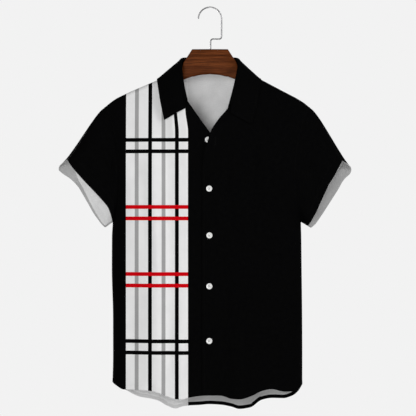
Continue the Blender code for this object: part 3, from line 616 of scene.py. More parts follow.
def cloth_shell(name, middle, normal, outer, inner, uv, materials, inside, wrap=False):
    """A thin closed wall on a grid: both faces, and a rounded rim along its free edges.

    inside gives the material slot of each face of the inner side. Where the grid wraps round, uv has one more
    column than the grid.
    """
    columns, rows = middle.shape[:2]
    faces_across = columns if wrap else columns - 1
    i, j = np.meshgrid(np.arange(faces_across), np.arange(rows - 1), indexing="ij")
    corner = [(i, j), (i + 1, j), (i + 1, j + 1), (i, j + 1)]
    quads = np.stack([(a % columns) * rows + b for a, b in corner], -1).reshape(-1, 4)
    quad_uv = np.stack([uv[a, b] for a, b in corner], -2).reshape(-1, 4, 2)
    count = columns * rows
    points = np.concatenate([(middle + normal * outer[..., None]).reshape(-1, 3),
                             (middle - normal * inner[..., None]).reshape(-1, 3)])
    if wrap:
        ring = np.arange(columns)
        loops = [(ring * rows, ring * rows + 1, uv[:-1, 0]),
                 (ring[::-1] * rows + rows - 1, ring[::-1] * rows + rows - 2, uv[:-1][::-1, -1])]
    else:
        a, b = np.arange(columns), np.arange(1, rows)
        edge_i = np.concatenate([a, np.full(rows - 1, columns - 1), a[::-1][1:], np.zeros(rows - 2, int)])
        edge_j = np.concatenate([np.zeros(columns, int), b, np.full(columns - 1, rows - 1), b[::-1][1:]])
        next_i, next_j = np.clip(edge_i, 1, columns - 2), np.clip(edge_j, 1, rows - 2)
        loops = [(edge_i * rows + edge_j, next_i * rows + next_j, uv[edge_i, edge_j])]
    faces, face_uv = [quads, quads[:, ::-1] + count], [quad_uv, quad_uv[:, ::-1]]
    for edge, nearby, edge_uv in loops:  # with a wrap, the second loop is the open end
        middles = (points[edge] + points[edge + count]) / 2
        away = unit(middles - (points[nearby] + points[nearby + count]) / 2)
        thick = np.linalg.norm(points[edge] - points[edge + count], axis=1)[:, None]
        rim = len(points) + np.arange(len(edge))
        points = np.concatenate([points, middles + away * thick * RIM_BULGE])
        b, rim_b, uv_b = np.roll(edge, -1), np.roll(rim, -1), np.roll(edge_uv, -1, 0)
        faces.append(np.stack([b, edge, rim, rim_b], -1))
        faces.append(np.stack([rim_b, rim, edge + count, b + count], -1))
        face_uv += [np.stack([uv_b, edge_uv, edge_uv, uv_b], 1)] * 2
    slots = np.concatenate([np.zeros(len(quads), int), inside.reshape(-1),
                            np.zeros(sum(len(f) for f in faces[2:]), int)])
    if wrap:  # the rim of the open end is of the same cloth as the inside there
        slots[-2 * len(faces[-1]):] = inside[0, -1]
    faces, face_uv = np.concatenate(faces), np.concatenate(face_uv)
    facing = np.cross(np.gradient(middle, axis=0), np.gradient(middle, axis=1))
    if (facing * normal).sum() < 0:
        faces, face_uv = faces[:, ::-1], face_uv[:, ::-1]
    mesh = bpy.data.meshes.new(name)
    mesh.from_pydata((points * MM).tolist(), [], faces.tolist())
    mesh.uv_layers.new(name="cloth").data.foreach_set("uv", (face_uv * MM).reshape(-1).astype(np.float32))
    mesh.polygons.foreach_set("material_index", slots.astype(np.int32))
    mesh.shade_smooth()
    for material in materials:
        mesh.materials.append(material)
    return new_object(name, mesh)


def finish_mesh(name, bm, material, sharp=40.0):
    mesh = bpy.data.meshes.new(name)
    bm.to_mesh(mesh)
    bm.free()
    mesh.shade_smooth()
    mesh.set_sharp_from_angle(angle=math.radians(sharp))
    mesh.materials.append(material)
    return new_object(name, mesh)


def place(obj, slot, *nodes):
    """Fixes a piece to the body and hides the solids of model.glb that it stands for; slot is not used."""
    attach(obj, "root")
    if nodes:
        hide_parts(*nodes)
    return obj


def frame_at(point, along, out):
    """Matrix whose X runs along the cloth, Z stands out of it."""
    along = unit(np.asarray(along, float))
    out = unit(np.asarray(out, float) - along * np.dot(out, along))
    side = np.cross(out, along)
    rows = [[along[k], side[k], out[k], point[k] * MM] for k in range(3)]
    return Matrix(rows + [[0, 0, 0, 1]])


def lump(bm, matrix, half_size, fineness=1):
    """A small ellipsoid: a stitch or a strand of thread."""
    size = Matrix.Diagonal((*(half * MM for half in half_size), 1))
    bmesh.ops.create_icosphere(bm, subdivisions=fineness, radius=1, matrix=matrix @ size)


def stitch_row(bm, points, normals):
    """A row of stitches along a line of points on the cloth."""
    run = run_along(points)
    count = max(2, int(run[-1] / STITCH_PITCH))
    at = (np.arange(count) + 0.5) / count * run[-1]
    along = values_at(at + 0.5, run, points) - values_at(at - 0.5, run, points)
    for spot, ahead, out in zip(values_at(at, run, points), along, values_at(at, run, normals)):
        lump(bm, frame_at(spot, ahead, out), STITCH)


# ============================== materials
def add(tree, kind, links=(), **settings):
    """A node with its settings, and its inputs as numbers or as links from other nodes."""
    node = tree.nodes.new(kind)
    for key, value in settings.items():
        setattr(node, key, value)
    for name, value in links:
        if isinstance(value, bpy.types.NodeSocket):
            tree.links.new(value, node.inputs[name])
        else:
            node.inputs[name].default_value = value
    return node


def math_node(tree, operation, *values):
    return add(tree, "ShaderNodeMath", list(enumerate(values)), operation=operation).outputs[0]


def mix_colours(tree, share, first, second):
    first, second = ((*c, 1) if isinstance(c, tuple) else c for c in (first, second))
    links = [(0, share), (6, first), (7, second)]
    return add(tree, "ShaderNodeMix", links, data_type="RGBA").outputs[2]


def within(tree, value, low, high):
    """1 where the value lies between two numbers in millimetres."""
    above = math_node(tree, "GREATER_THAN", value, low * MM)
    return math_node(tree, "MULTIPLY", above, math_node(tree, "LESS_THAN", value, high * MM))


def new_material(name, **constants):
    """A material, its node tree and its shader, with some of the shader's inputs set to numbers."""
    material = bpy.data.materials.new(name)
    material.use_nodes = True
    shader = material.node_tree.nodes["Principled BSDF"]
    for key, value in constants.items():
        shader.inputs[key.replace("_", " ")].default_value = value
    return material, material.node_tree, shader


def dress(tree, shader, colour, roughness=None, bump=None):
    """Links the nodes of a surface's colour, roughness and bump to its shader."""
    for name, socket in (("Base Color", colour), ("Roughness", roughness), ("Normal", bump)):
        if socket is not None:
            tree.links.new(socket, shader.inputs[name])


def own_places(tree):
    return add(tree, "ShaderNodeTexCoord").outputs["Object"]


def cloth_places(tree):
    """Places across and down the flat cloth, in metres."""
    uv = add(tree, "ShaderNodeUVMap", uv_map="cloth").outputs[0]
    parts = add(tree, "ShaderNodeSeparateXYZ", [(0, uv)])
    return uv, parts.outputs[0], parts.outputs[1]


def weave(tree, across, down):
    """Bump of a plain weave."""
    turn = 2 * math.pi / (WEAVE_PITCH * MM)
    one = math_node(tree, "SINE", math_node(tree, "MULTIPLY", across, turn))
    two = math_node(tree, "SINE", math_node(tree, "MULTIPLY", down, turn))
    height = math_node(tree, "MULTIPLY", one, two)
    return add(tree, "ShaderNodeBump", [("Height", height), ("Strength", WEAVE_STRENGTH),
                                        ("Distance", WEAVE_DEPTH * MM)]).outputs[0]


def change(tree, value, start, end, first, last):
    """Goes from first to last while the value goes from start to end."""
    return add(tree, "ShaderNodeMapRange", [("Value", value), ("From Min", start), ("From Max", end),
                                            ("To Min", first), ("To Max", last)]).outputs[0]


def noise(tree, places, **inputs):
    links = [(key.capitalize(), value) for key, value in inputs.items()]
    return add(tree, "ShaderNodeTexNoise", [("Vector", places)] + links).outputs[0]


def mottle(tree, places, size, low, high):
    """Soft uneven patches of a size in millimetres, as a number between low and high."""
    return change(tree, noise(tree, places, scale=1 / (size * MM), detail=3.0), 0.3, 0.7, low, high)


def darken(tree, colour, share):
    """The colour times a number."""
    return add(tree, "ShaderNodeVectorMath", [(0, colour), ("Scale", share)], operation="SCALE").outputs[0]


WEAVE_PITCH = 0.7        # from one thread to the next but one
WEAVE_STRENGTH = 0.5
WEAVE_DEPTH = 0.08
INK = (0.0011, 0.0011, 0.0012)
WHITE = (0.78, 0.78, 0.78)
GREY = (0.34, 0.34, 0.34)
RED = (0.56, 0.001, 0.005)
INSIDE = (0.80, 0.80, 0.80)
INSIDE_OF_STRIPE = (0.95, 0.95, 0.95)
PAINTED_SHADE_INSIDE = (0.55, 0.55, 0.55)          # painted shade: darker towards the hem, where the front shades the back's inside
PAINTED_SHADE_HEIGHTS = (-800.0, -500.0)
PAINTED_LIGHT_INSIDE = (0.97, 0.97, 0.97)         # painted light: lighter from the bottom of the neck opening down, where the fronts shade the back's inside
PAINTED_LIGHT_HEIGHTS = (-205.0, -262.0)
CUFF_BAND_PAINTED_SHADE = dict(right=0.60, left=0.53)   # painted shade: how much the turned hem inside each cuff is darkened, the left one more
BAR_COLOURS = dict(black=INK, grey=GREY, red=RED)

# Surfaces of one colour with faint patches of another. rough gives the size of the patches of roughness,
# and its least and most.
PLAIN_SURFACES = dict(
    name=("button_thread", "button_resin", "drawn_steel", "studio_floor"),
    patch=(0.6, 3.5, 1.5, 900),
    first=((0.55, 0.55, 0.54), (0.76, 0.76, 0.745), (0.24, 0.24, 0.245), (0.66, 0.66, 0.66)),
    second=((0.78, 0.78, 0.76), (0.84, 0.84, 0.83), (0.34, 0.34, 0.345), (0.70, 0.70, 0.70)),
    rough=((0.8, 0.5, 0.75), (1.6, 0.2, 0.34), (0.7, 0.18, 0.34), None),
    constants=({}, dict(Coat_Weight=0.3, Coat_Roughness=0.12), dict(Metallic=1.0), dict(Roughness=0.9)),
)
WOOD_TONES = dict(
    place=(0.30, 0.44, 0.56, 0.70),
    colour=((0.055, 0.013, 0.003), (0.088, 0.022, 0.005), (0.122, 0.032, 0.008), (0.165, 0.046, 0.012)),
)
WOOD_FIGURE_SCALE = (9.0, 60.0, 150.0)   # along the hanger, through it and up it
WOOD_PORE_SCALE = (30.0, 400.0, 900.0)


def printed_colour(tree, across, down, stripe, bars):
    """Black, or the white stripe on black, with its check where bars is true."""
    if not stripe:
        return mix_colours(tree, 0.0, INK, INK)
    drawn = WHITE
    if bars:
        for places, middles, along in ((UPRIGHT_BARS, "across", across), (LEVEL_BARS, "height", down)):
            for middle, ink in rows_of(places, middles, "colour"):
                bar = within(tree, along, middle - BAR / 2, middle + BAR / 2)
                drawn = mix_colours(tree, bar, drawn, BAR_COLOURS[ink])
    return mix_colours(tree, within(tree, across, *STRIPE), INK, drawn)


def printed_cloth(name, stripe, bars):
    """Outside of the cloth: black, with the white stripe and its check where this piece has them."""
    material, tree, shader = new_material(name, Specular_IOR_Level=0.02, Sheen_Weight=0.004,
                                          Sheen_Roughness=0.4)
    uv, across, down = cloth_places(tree)
    colour = printed_colour(tree, across, down, stripe, bars)
    colour = darken(tree, colour, mottle(tree, uv, size=26, low=0.98, high=1.015))
    rough = mottle(tree, uv, size=9, low=0.68, high=0.86)
    dress(tree, shader, colour, rough, weave(tree, across, down))
    return material


def bare_cloth(name, stripe, shade=1.0):
    """Inside of the cloth, which the print doesn't reach; its ink shows through a little. With stripe, it has
    painted light below the neck and painted shade towards the hem.
    """
    material, tree, shader = new_material(name, Specular_IOR_Level=0.2, Sheen_Weight=0.08)
    uv, across, down = cloth_places(tree)
    # shade darkens the whole colour: painted shade on the cuffs' turned hems
    tone, lit = (tuple(c * shade for c in colour) for colour in (INSIDE, INSIDE_OF_STRIPE))
    if stripe:
        low, high = (height * MM for height in PAINTED_SHADE_HEIGHTS)
        neck, below = (height * MM for height in PAINTED_LIGHT_HEIGHTS)
        # painted shade: darker towards the hem
        painted_shade_share = change(tree, down, low, high, 1.0, 0.0)
        # painted light: lighter from the bottom of the neck opening down
        tone = mix_colours(tree, change(tree, down, neck, below, 0.0, 1.0), tone, PAINTED_LIGHT_INSIDE)
        tone = mix_colours(tree, painted_shade_share, tone, PAINTED_SHADE_INSIDE)
    colour = mix_colours(tree, within(tree, across, *STRIPE) if stripe else 0.0, tone, lit)
    for size, low, high in ((30, 0.93, 1.04), (2.2, 0.95, 1.04)):
        colour = darken(tree, colour, mottle(tree, uv, size, low, high))
    rough = mottle(tree, uv, size=9, low=0.75, high=0.9)
    dress(tree, shader, colour, rough, weave(tree, across, down))
    return material


def thread_material(name, stripe):
    """Sewing thread: black, and white where it crosses the stripe."""
    material, tree, shader = new_material(name, Specular_IOR_Level=0.06)
    places = own_places(tree)
    across, _, down = add(tree, "ShaderNodeSeparateXYZ", [(0, places)]).outputs
    colour = printed_colour(tree, across, down, stripe, True)
    colour = darken(tree, colour, mottle(tree, places, size=1.2, low=0.8, high=1.1))
    dress(tree, shader, colour, mottle(tree, places, size=0.8, low=0.5, high=0.75))
    return material


def plain_material(name):
    """A surface of one colour with faint patches: thread, polished resin, drawn wire or the floor."""
    row = PLAIN_SURFACES["name"].index(name)
    patch, first, second, rough, constants = (
        PLAIN_SURFACES[part][row] for part in ("patch", "first", "second", "rough", "constants"))
    material, tree, shader = new_material(name, **constants)
    places = own_places(tree)
    colour = mix_colours(tree, mottle(tree, places, patch, 0.0, 1.0), first, second)
    dress(tree, shader, colour, mottle(tree, places, *rough) if rough else None)
    return material


def wood_material():
    """Dark brown stained wood: the grain runs along the hanger, with fine pores under a satin varnish."""
    material, tree, shader = new_material("stained_wood", Specular_IOR_Level=0.025)
    places = own_places(tree)
    figure_places, pore_places = (
        add(tree, "ShaderNodeMapping", [("Vector", places), ("Scale", scale)]).outputs[0]
        for scale in (WOOD_FIGURE_SCALE, WOOD_PORE_SCALE))
    figure = noise(tree, figure_places, scale=1.0, detail=5.0, roughness=0.6, distortion=0.35)
    pores = noise(tree, pore_places, scale=1.0, detail=4.0, roughness=0.65)
    ramp = add(tree, "ShaderNodeValToRGB", [(0, figure)])
    stops = ramp.color_ramp.elements
    while len(stops) < len(WOOD_TONES["place"]):
        stops.new(0.5)
    for stop, (where, tone) in zip(stops, rows_of(WOOD_TONES, "place", "colour")):
        stop.position, stop.color = where, (*tone, 1)
    colour = darken(tree, ramp.outputs[0], change(tree, pores, start=0.36, end=0.6, first=0.42, last=1.1))
    bump = add(tree, "ShaderNodeBump", [("Height", pores), ("Strength", 0.25), ("Distance", 0.15 * MM)])
    rough = change(tree, pores, start=0.0, end=1.0, first=0.5, last=0.3)
    dress(tree, shader, colour, rough, bump.outputs[0])
    return material


# ============================== pieces
def cloth_uv(face, x, z):
    """Places on the flat cloth; in front the stripe's inner edge leans a little where the collar opens."""
    low, high = STRIPE_PULL_HEIGHTS
    start, end = STRIPE_PULL_ACROSS
    lean = STRIPE_PULL * ease((z - low) / (high - low)) * ease((x - start) / (end - start))
    return np.stack([x + lean * (face == "front"), z], -1)


def body_piece(name, face, side, materials, black_hem):
    """A front or the back, with its turned hem and open edges."""
    grid = panel_grid(face, side, panel_columns(side))
    x, z = grid[..., 0], grid[..., 1]
    middle, normal = cloth_point(face, x, z, front_lift(side, x, z), with_normal=True)
    hem = hem_places(face, HEM["across"][0], HEM["across"][-1], POINTS["hem"])
    hem_distance = edge_distance(grid, hem)
    outer, inner = turned(hem_distance, HEM_TURN, HEM_STITCH)
    if side != "back":
        more_out, more_in = turned(edge_distance(grid, neck_line(side)), EDGE_TURN, EDGE_STITCH, EDGE_BULK)
        outer, inner = np.maximum(outer, 0) + more_out + np.minimum(outer, 0), np.maximum(inner, more_in)
    shown = hem_distance[:-1, :-1] < (BLACK_HEM if black_hem else HEM_FOLD)
    return cloth_shell(name + "_cloth", middle, normal, CLOTH / 2 + outer, CLOTH / 2 + inner,
                       cloth_uv(face, x, z), materials, np.where(shown, 0, 1))


def armhole_ring(side):
    """Where the sleeve is sewn on, from the shoulder down the front and up the back."""
    edge = side_column(side, "front")[LOW_COUNT:]
    front = cloth_point("front", edge[:, 0], edge[:, 1], 0.0)[::-1]
    back = cloth_point("back", edge[:, 0], edge[:, 1], 0.0)
    front[0, 1] = front[-1, 1] = 0.0
    return np.concatenate([front, back[1:-1]])


def squared(wave):
    """Brings a sine or cosine closer to 1 and -1, so that a ring gets flatter sides."""
    return np.sign(wave) * np.abs(wave) ** CUFF_SQUARENESS


def cuff_ring(side, angles):
    """The cuff's edge all round, and the way in which the sleeve reaches it."""
    top, bottom = np.array(CUFFS[side])
    along = bottom - top
    outward = unit(np.array([along[1], -along[0]]))
    outward = outward * np.sign(outward[0]) * np.sign(top[0])
    up, front = squared(np.cos(angles)), squared(np.sin(angles))
    way = (1 - up) / 2
    let_front = column(CUFF_EDGES, side + "_front", "way", way)
    let_back = column(CUFF_EDGES, side + "_back", "way", way)
    share = (np.clip(front * CUFF_TWIST + np.maximum(up, 0) ** 2 * CUFF_TWIST_TOP[side], -1, 1) + 1) / 2
    let_out = let_back + (let_front - let_back) * share
    flat = top + along * way[:, None] + outward * let_out[:, None]
    return np.stack([flat[:, 0], -CUFF_DEPTH * front, flat[:, 1]], -1), outward


def sleeve_grid(side):
    """Rows of points from the armhole to the cuff, and how much of the cuff's hem shows in each."""
    ring = armhole_ring(side)
    angles = 2 * math.pi * np.arange(len(ring)) / len(ring)
    cuff, outward = cuff_ring(side, angles)
    start = np.array([SLEEVE_START[side][0], 0, SLEEVE_START[side][1]])
    ring = ring - start * SEAM_TUCK
    most = SLEEVE_PULL_SHARE * np.linalg.norm(cuff - ring, axis=1)[:, None]
    leave = start * np.minimum(SLEEVE_PULL[side][0], most)
    arrive = np.array([outward[0], 0, outward[1]]) * np.minimum(SLEEVE_PULL[side][1], most)
    t = np.linspace(0, 1, POINTS["sleeve"])[:, None]
    grid, shares = [], []
    for from_seam, leaving, to_cuff, arriving, angle in zip(ring, leave, cuff, arrive, angles):
        line = curve_between(from_seam, leaving, to_cuff, arriving, t)
        length = run_along(line)[-1]
        inside = ease(0.5 - 1.5 * math.sin(angle))
        up = squared(math.cos(angle))
        share = 1 + (column(CUFF_BAND, side, "way", (1 - up) / 2) - 1) * inside
        hem_rows = np.array(CUFF_ROWS) * min(share, length * CUFF_MOST / CUFF_ROWS[0])
        plain_rows = np.linspace(0, length - hem_rows[0], SLEEVE_ROWS)[:-1]
        grid.append(resample(line, np.concatenate([plain_rows, length - hem_rows])))
        shares.append(share)
    return np.array(grid), np.array(shares)


def rows_from_edge(rows, last):
    """Each row's distance from the free edge: that of the last rows, and far for the others."""
    return np.concatenate([np.full(rows - len(last), FAR), last])


def strip_uv(across, down):
    """Places on the flat cloth, away from the print, from distances along a piece's own lines."""
    return np.stack(np.broadcast_arrays(across[:, None] + STRIP_PLACE, -down[None, :]), -1)


def sleeve_piece(side, materials):
    """A sleeve with its creases and its turned cuff. Also returns the line of its stitches."""
    grid, shares = sleeve_grid(side)
    rows = grid.shape[1]
    normal = grid_normals(grid, True)
    normal = normal * np.sign((normal * (grid - grid.mean(axis=0))).sum())
    x, _, z = np.moveaxis(grid, -1, 0)
    bumps = crease_depth(SLEEVE_CREASES[side], x, z) + unevenness(z, x)
    from_seam, to_cuff = np.arange(rows), np.arange(rows)[::-1]
    soft = np.clip(from_seam / SLEEVE_FADE["seam"], 0, 1) * np.clip(
        to_cuff / SLEEVE_FADE["cuff"], SLEEVE_FADE["least"], 1)
    flat_side = np.abs(normal[..., 1]) ** 1.5
    grid = grid + normal * (bumps * soft * flat_side)[..., None]
    creased = grid_normals(grid, True)
    normal = creased * np.sign((creased * normal).sum())
    from_cuff = rows_from_edge(rows, CUFF_ROWS)
    outer = turned(np.outer(shares, from_cuff), CUFF_TURN, CUFF_STITCH)[0]
    inner = turned(from_cuff, CUFF_TURN, 0)[1]
    across = run_along(grid[:, rows // 2])
    across = np.append(across, across[-1] + 2.0)  # one more, where the last column meets the first
    # slot 2: the turned hem inside the cuff, with painted shade
    inside = np.where(from_cuff[:-1] <= CUFF_TURN, 2, 1)[None, :].repeat(len(grid), axis=0)
    spread_out = np.ones(grid.shape[:2])
    obj = cloth_shell(side + "_sleeve_cloth", grid, normal, spread_out * (CLOTH / 2 + outer),
                      spread_out * (CLOTH / 2 + inner), strip_uv(across, run_along(grid.mean(axis=0))),
                      materials, inside, wrap=True)
    ring, ring_normal = [], []
    for line, out in zip(grid, normal):
        run = run_along(line)
        at = run[-1] - min(CUFF_STITCH, run[-1] * CUFF_MOST)
        ring.append(values_at(at, run, line))
        ring_normal.append(values_at(at, run, out))
    ring, ring_normal = np.array(ring + ring[:1]), np.array(ring_normal + ring_normal[:1])
    return obj, ring + ring_normal * (CLOTH / 2 - GROOVE / 2), ring_normal


def push_out(points, clear):
    """Moves points that are inside the cloth of the body, or closer to it than clear, out of it."""
    x, y, z = points[..., 0], points[..., 1], points[..., 2]
    axis = shoulder_height(x) - RIDGE_RADIUS
    reach = np.hypot(y, z - axis)
    round_scale = np.where(z > axis, np.maximum((RIDGE_RADIUS + clear) / np.maximum(reach, 1e-6), 1.0), 1.0)
    depth = np.where(y < 0, depth_at("front", x, z), depth_at("back", x, z)) + clear
    flat_y = np.where(y < 0, -1, 1) * np.maximum(np.abs(y), depth)
    new_y = np.where(z > axis, y * round_scale, flat_y)
    new_z = np.where(z > axis, axis + (z - axis) * round_scale, z)
    return np.stack([x, new_y, new_z], -1)


def collar_section(side, way):
    """Middle line of the collar from the neck seam over the fold to the outer edge."""
    seam_x, seam_z = (column(COLLAR, side + "_seam_" + part, "way", way) for part in ("across", "height"))
    seam = cloth_point("back" if way < 0.5 else "front", seam_x, seam_z, 0.0)
    fold, edge = (np.array([column(COLLAR, side + line + part, "way", way)
                            for part in ("across", "depth", "height")]) for line in ("_fold_", "_edge_"))
    stand = unit(fold - seam)
    middle, width = SHOULDER_LIFT_WAY
    seam = seam + stand * (COLLAR_LIFT + SHOULDER_LIFT * math.exp(-((way - middle) / width) ** 2))
    out = edge - fold
    out = unit(out - stand * np.dot(out, stand))
    points = [seam + (fold - seam) * t for t in np.linspace(0, STAND_SHARE, STAND_ROWS)]
    centre = points[-1] + out * COLLAR_ROLL
    for turn in np.radians(ROLL_ANGLES):
        points.append(centre + COLLAR_ROLL * (out * math.cos(turn) + stand * math.sin(turn)))
    start = centre + out * COLLAR_ROLL
    drop = np.array([-np.sign(edge[0]) * LEADING_EDGE_SHIFT, 0, -LEADING_EDGE_DROP])
    drop = drop * ease((way - LEADING_EDGE_WAY) / (1 - LEADING_EDGE_WAY))
    t = np.linspace(0.04, 1, POINTS["fall"])[:, None]
    bulge = stand * COLLAR_BOW[side] * (np.sin(math.pi * t) + 0.5 * np.sin(2 * math.pi * t))
    leaf = start + (edge - start) * t + bulge + drop * (1 - t) * np.minimum(t / LEADING_EDGE_START, 1)
    line = np.concatenate([points, push_out(leaf, COLLAR_CLEAR)])
    fall = line[len(points) - 1:]
    length = run_along(fall)[-1]
    rows = [np.linspace(0, length - EDGE_ROWS[0], FALL_ROWS)[1:-1], length - np.array(EDGE_ROWS)]
    return np.concatenate([points, resample(fall, np.concatenate(rows))])


def collar_piece(material):
    """The collar, with the lines of its stitches."""
    ways = np.concatenate([np.linspace(0, COLLAR_END_WAYS[0], COLLAR_COLUMNS), COLLAR_END_WAYS[1:]])
    right = [collar_section("right", way) for way in ways[::-1]]
    left = [collar_section("left", way) for way in ways[1:]]
    grid = np.array(right + left)
    columns, rows = grid.shape[:2]
    normal = grid_normals(grid, False)
    normal = normal * np.sign(normal[columns // 2, -4, 1])   # the fall's outside faces back behind the neck
    from_edge = rows_from_edge(rows, EDGE_ROWS)
    fold = STAND_ROWS + len(ROLL_ANGLES)
    ends = [run_along(grid[:, fold:]), run_along(grid[::-1, fold:])]
    distance = np.full((columns, rows), FAR)
    distance[:, fold:] = np.minimum(from_edge[None, fold:], np.minimum(ends[0], ends[1][::-1]))
    sunk = groove(distance, COLLAR_STITCH)
    uv = strip_uv(run_along(grid[:, fold]), run_along(grid[columns // 2]))
    obj = cloth_shell("collar_cloth", grid, normal, COLLAR_CLOTH / 2 - sunk, COLLAR_CLOTH / 2 - sunk / 2,
                      uv, [material], np.zeros((columns - 1, rows - 1), int))
    row = rows - len(EDGE_ROWS) + EDGE_ROWS.index(COLLAR_STITCH)
    lines = [(grid[6:-6, row], normal[6:-6, row])]
    nearest = [np.argmin(np.abs(run - COLLAR_STITCH), axis=0) for run in ends]
    for reached in (nearest[0], columns - 1 - nearest[1]):
        along = reached[:-5], np.arange(fold, rows)[:-5]
        lines.append((grid[along], normal[along]))
    return obj, [(points + out * (COLLAR_CLOTH / 2 - GROOVE / 2), out) for points, out in lines]


def button_piece(number, x, z, material):
    """A button with a flat middle, four holes and a rounded rim, lying on the front."""
    lift = CLOTH / 2 + BUTTON_GAP
    if number > 1:  # the first lies on the right front, for it isn't fastened
        lift += float(overlap_lift(x, z))
    at, out = cloth_point("front", x, z, lift, with_normal=True)
    bm = bmesh.new()
    bmesh.ops.create_circle(bm, segments=BUTTON_SIDES, radius=BUTTON_WELL * MM)
    for turn in np.radians(BUTTON_HOLE_TURNS):
        hole = Matrix.Translation((BUTTON_HOLE_PLACE * math.cos(turn) * MM,
                                   BUTTON_HOLE_PLACE * math.sin(turn) * MM, 0))
        bmesh.ops.create_circle(bm, segments=BUTTON_HOLE_SIDES, radius=BUTTON_HOLE * MM, matrix=hole)
    bmesh.ops.triangle_fill(bm, edges=bm.edges[:], use_beauty=True)
    walls = bmesh.ops.extrude_face_region(bm, geom=bm.faces[:])
    raised = [v for v in walls["geom"] if isinstance(v, bmesh.types.BMVert)]
    bmesh.ops.translate(bm, verts=raised, vec=(0, 0, BUTTON_FLOOR * MM))
    outside = [f for f in bm.faces if all(abs(v.co.xy.length - BUTTON_WELL * MM) < 1e-6 for v in f.verts)
               and abs(f.normal.z) < 0.5]
    bmesh.ops.delete(bm, geom=outside, context="FACES_ONLY")
    profile = [bm.verts.new((r * MM, 0, h * MM)) for r, h in rows_of(BUTTON_RIM, "radius", "height")]
    edges = [bm.edges.new(pair) for pair in zip(profile, profile[1:])]
    bmesh.ops.spin(bm, geom=profile + edges, cent=(0, 0, 0), axis=(0, 0, 1), angle=2 * math.pi,
                   steps=BUTTON_SIDES, use_merge=True)
    bmesh.ops.remove_doubles(bm, verts=bm.verts, dist=2e-6)
    bmesh.ops.recalc_face_normals(bm, faces=bm.faces)
    # the extrusion makes its walls in another order each time, so vertices and faces get one of their own
    bm.verts.sort(key=lambda v: v.co.dot(SORTING))
    bm.faces.sort(key=lambda f: f.calc_center_median().dot(SORTING))
    matrix = frame_at(at, ACROSS, out)
    bmesh.ops.transform(bm, matrix=matrix, verts=bm.verts)
    return finish_mesh("button_%d_resin" % number, bm, material, 35), matrix


def button_threads(matrices, material):
    """Two crossing pairs of strands through each button's holes."""
    bm = bmesh.new()
    for matrix in matrices:
        for degrees in BUTTON_HOLE_TURNS[:2]:
            for aside in (-STRAND_ASIDE, STRAND_ASIDE):
                turn = Matrix.Rotation(math.radians(degrees), 4, "Z")
                lie = Matrix.Translation((0, aside * MM, (BUTTON_FLOOR + STRAND_RISE) * MM))
                lump(bm, matrix @ turn @ lie, STRAND, 2)
    return finish_mesh("button_threads", bm, material)


def level_stitch(bm, x, z, thread, fineness):
    """One level stitch on the outside of the left front."""
    lift = CLOTH / 2 + thread["lift"] + float(overlap_lift(x, z))
    at, out = cloth_point("front", x, z, lift, with_normal=True)
    lump(bm, frame_at(at, ACROSS, out), thread["half_size"], fineness)


def buttonholes(material):
    """Sewn upright buttonholes on the left front, mostly under the buttons."""
    bm = bmesh.new()
    places = list(rows_of(BUTTONS, "across", "height"))[1:] + [LOOSE_BUTTONHOLE]
    half_tall = BUTTONHOLE["height"] / 2
    for x, z in places:
        for up in np.linspace(-half_tall, half_tall, BUTTONHOLE["stitches"]):
            for aside in (-BUTTONHOLE["aside"], BUTTONHOLE["aside"]):
                level_stitch(bm, x + aside, z + up, BUTTONHOLE, 1)
        for up in (-BUTTONHOLE_END["up"], BUTTONHOLE_END["up"]):
            level_stitch(bm, x, z + up, BUTTONHOLE_END, 2)
    return finish_mesh("buttonhole_stitches", bm, material)


def body_line(face, side, places):
    """Points and normals on the outside of the body along a line of places."""
    x, z = places.T
    middle, normal = cloth_point(face, x, z, front_lift(side, x, z), with_normal=True)
    return middle + normal * (CLOTH / 2 + TURN_OUT - GROOVE + STITCH_SINK), normal


def hem_places(face, start, end, count, up=0.0):
    across = np.linspace(start, end, count)
    return np.stack([across, column(HEM, face, "across", across) + up], -1)


def offset_line(line, distance):
    """A line of places moved sideways by a distance."""
    run = unit(np.gradient(line, axis=0))
    return line + np.stack([-run[:, 1], run[:, 0]], -1) * distance


def stitches(name, rows, material):
    bm = bmesh.new()
    for points, normals in rows:
        stitch_row(bm, points, normals)
    return finish_mesh(name, bm, material)


def edge_places(side):
    """Where the stitches run along a front's open edge: the button band's row apart from the neck's."""
    if side == "right":
        return [offset_line(neck_line(side)[:-1], -EDGE_STITCH)[2:-6]]
    across = LEFT_EDGE + EDGE_STITCH
    bottom = column(HEM, "front", "across", across) + BAND_STITCHES["above_hem"]
    up = np.linspace(bottom, BAND_STITCHES["top"], POINTS["band"])
    band = np.stack([np.full(len(up), across), up], -1)
    return [band, offset_line(neck_line(side)[1:], -EDGE_STITCH)[3:-1]]


def body_stitches(side, material):
    """Rows of stitches on a front or the back: hem, open edge and along the armhole."""
    face = "back" if side == "back" else "front"
    lines = [hem_places(face, *HEM_STITCHES[side], POINTS["hem_stitches"], HEM_STITCH)]
    if side != "back":
        lines += edge_places(side)
    for way in SIDES[side]:
        arm = side_column(way, "front")[LOW_COUNT + 4:-4]
        lines.append(offset_line(arm, ARMHOLE_STITCH * (-1 if way == "right" else 1))[::2])
    return stitches(side + "_body_stitches", [body_line(face, side, line) for line in lines], material)


def board_section(x, top, bottom):
    """Rounded rectangle of the hanger's board at x, all round."""
    half, edge = HANGER_THICK / 2, HANGER_EDGE
    middle, tall = (top + bottom) / 2, (top - bottom) / 2
    points = []
    for quarter in range(4):
        for step in range(HANGER_CORNER + 1):
            turn = (quarter + step / HANGER_CORNER) * math.pi / 2
            side_y = half - edge if quarter in (0, 3) else edge - half
            side_z = tall - edge if quarter in (0, 1) else edge - tall
            points.append((x, side_y + edge * math.cos(turn), middle + side_z + edge * math.sin(turn)))
    return points


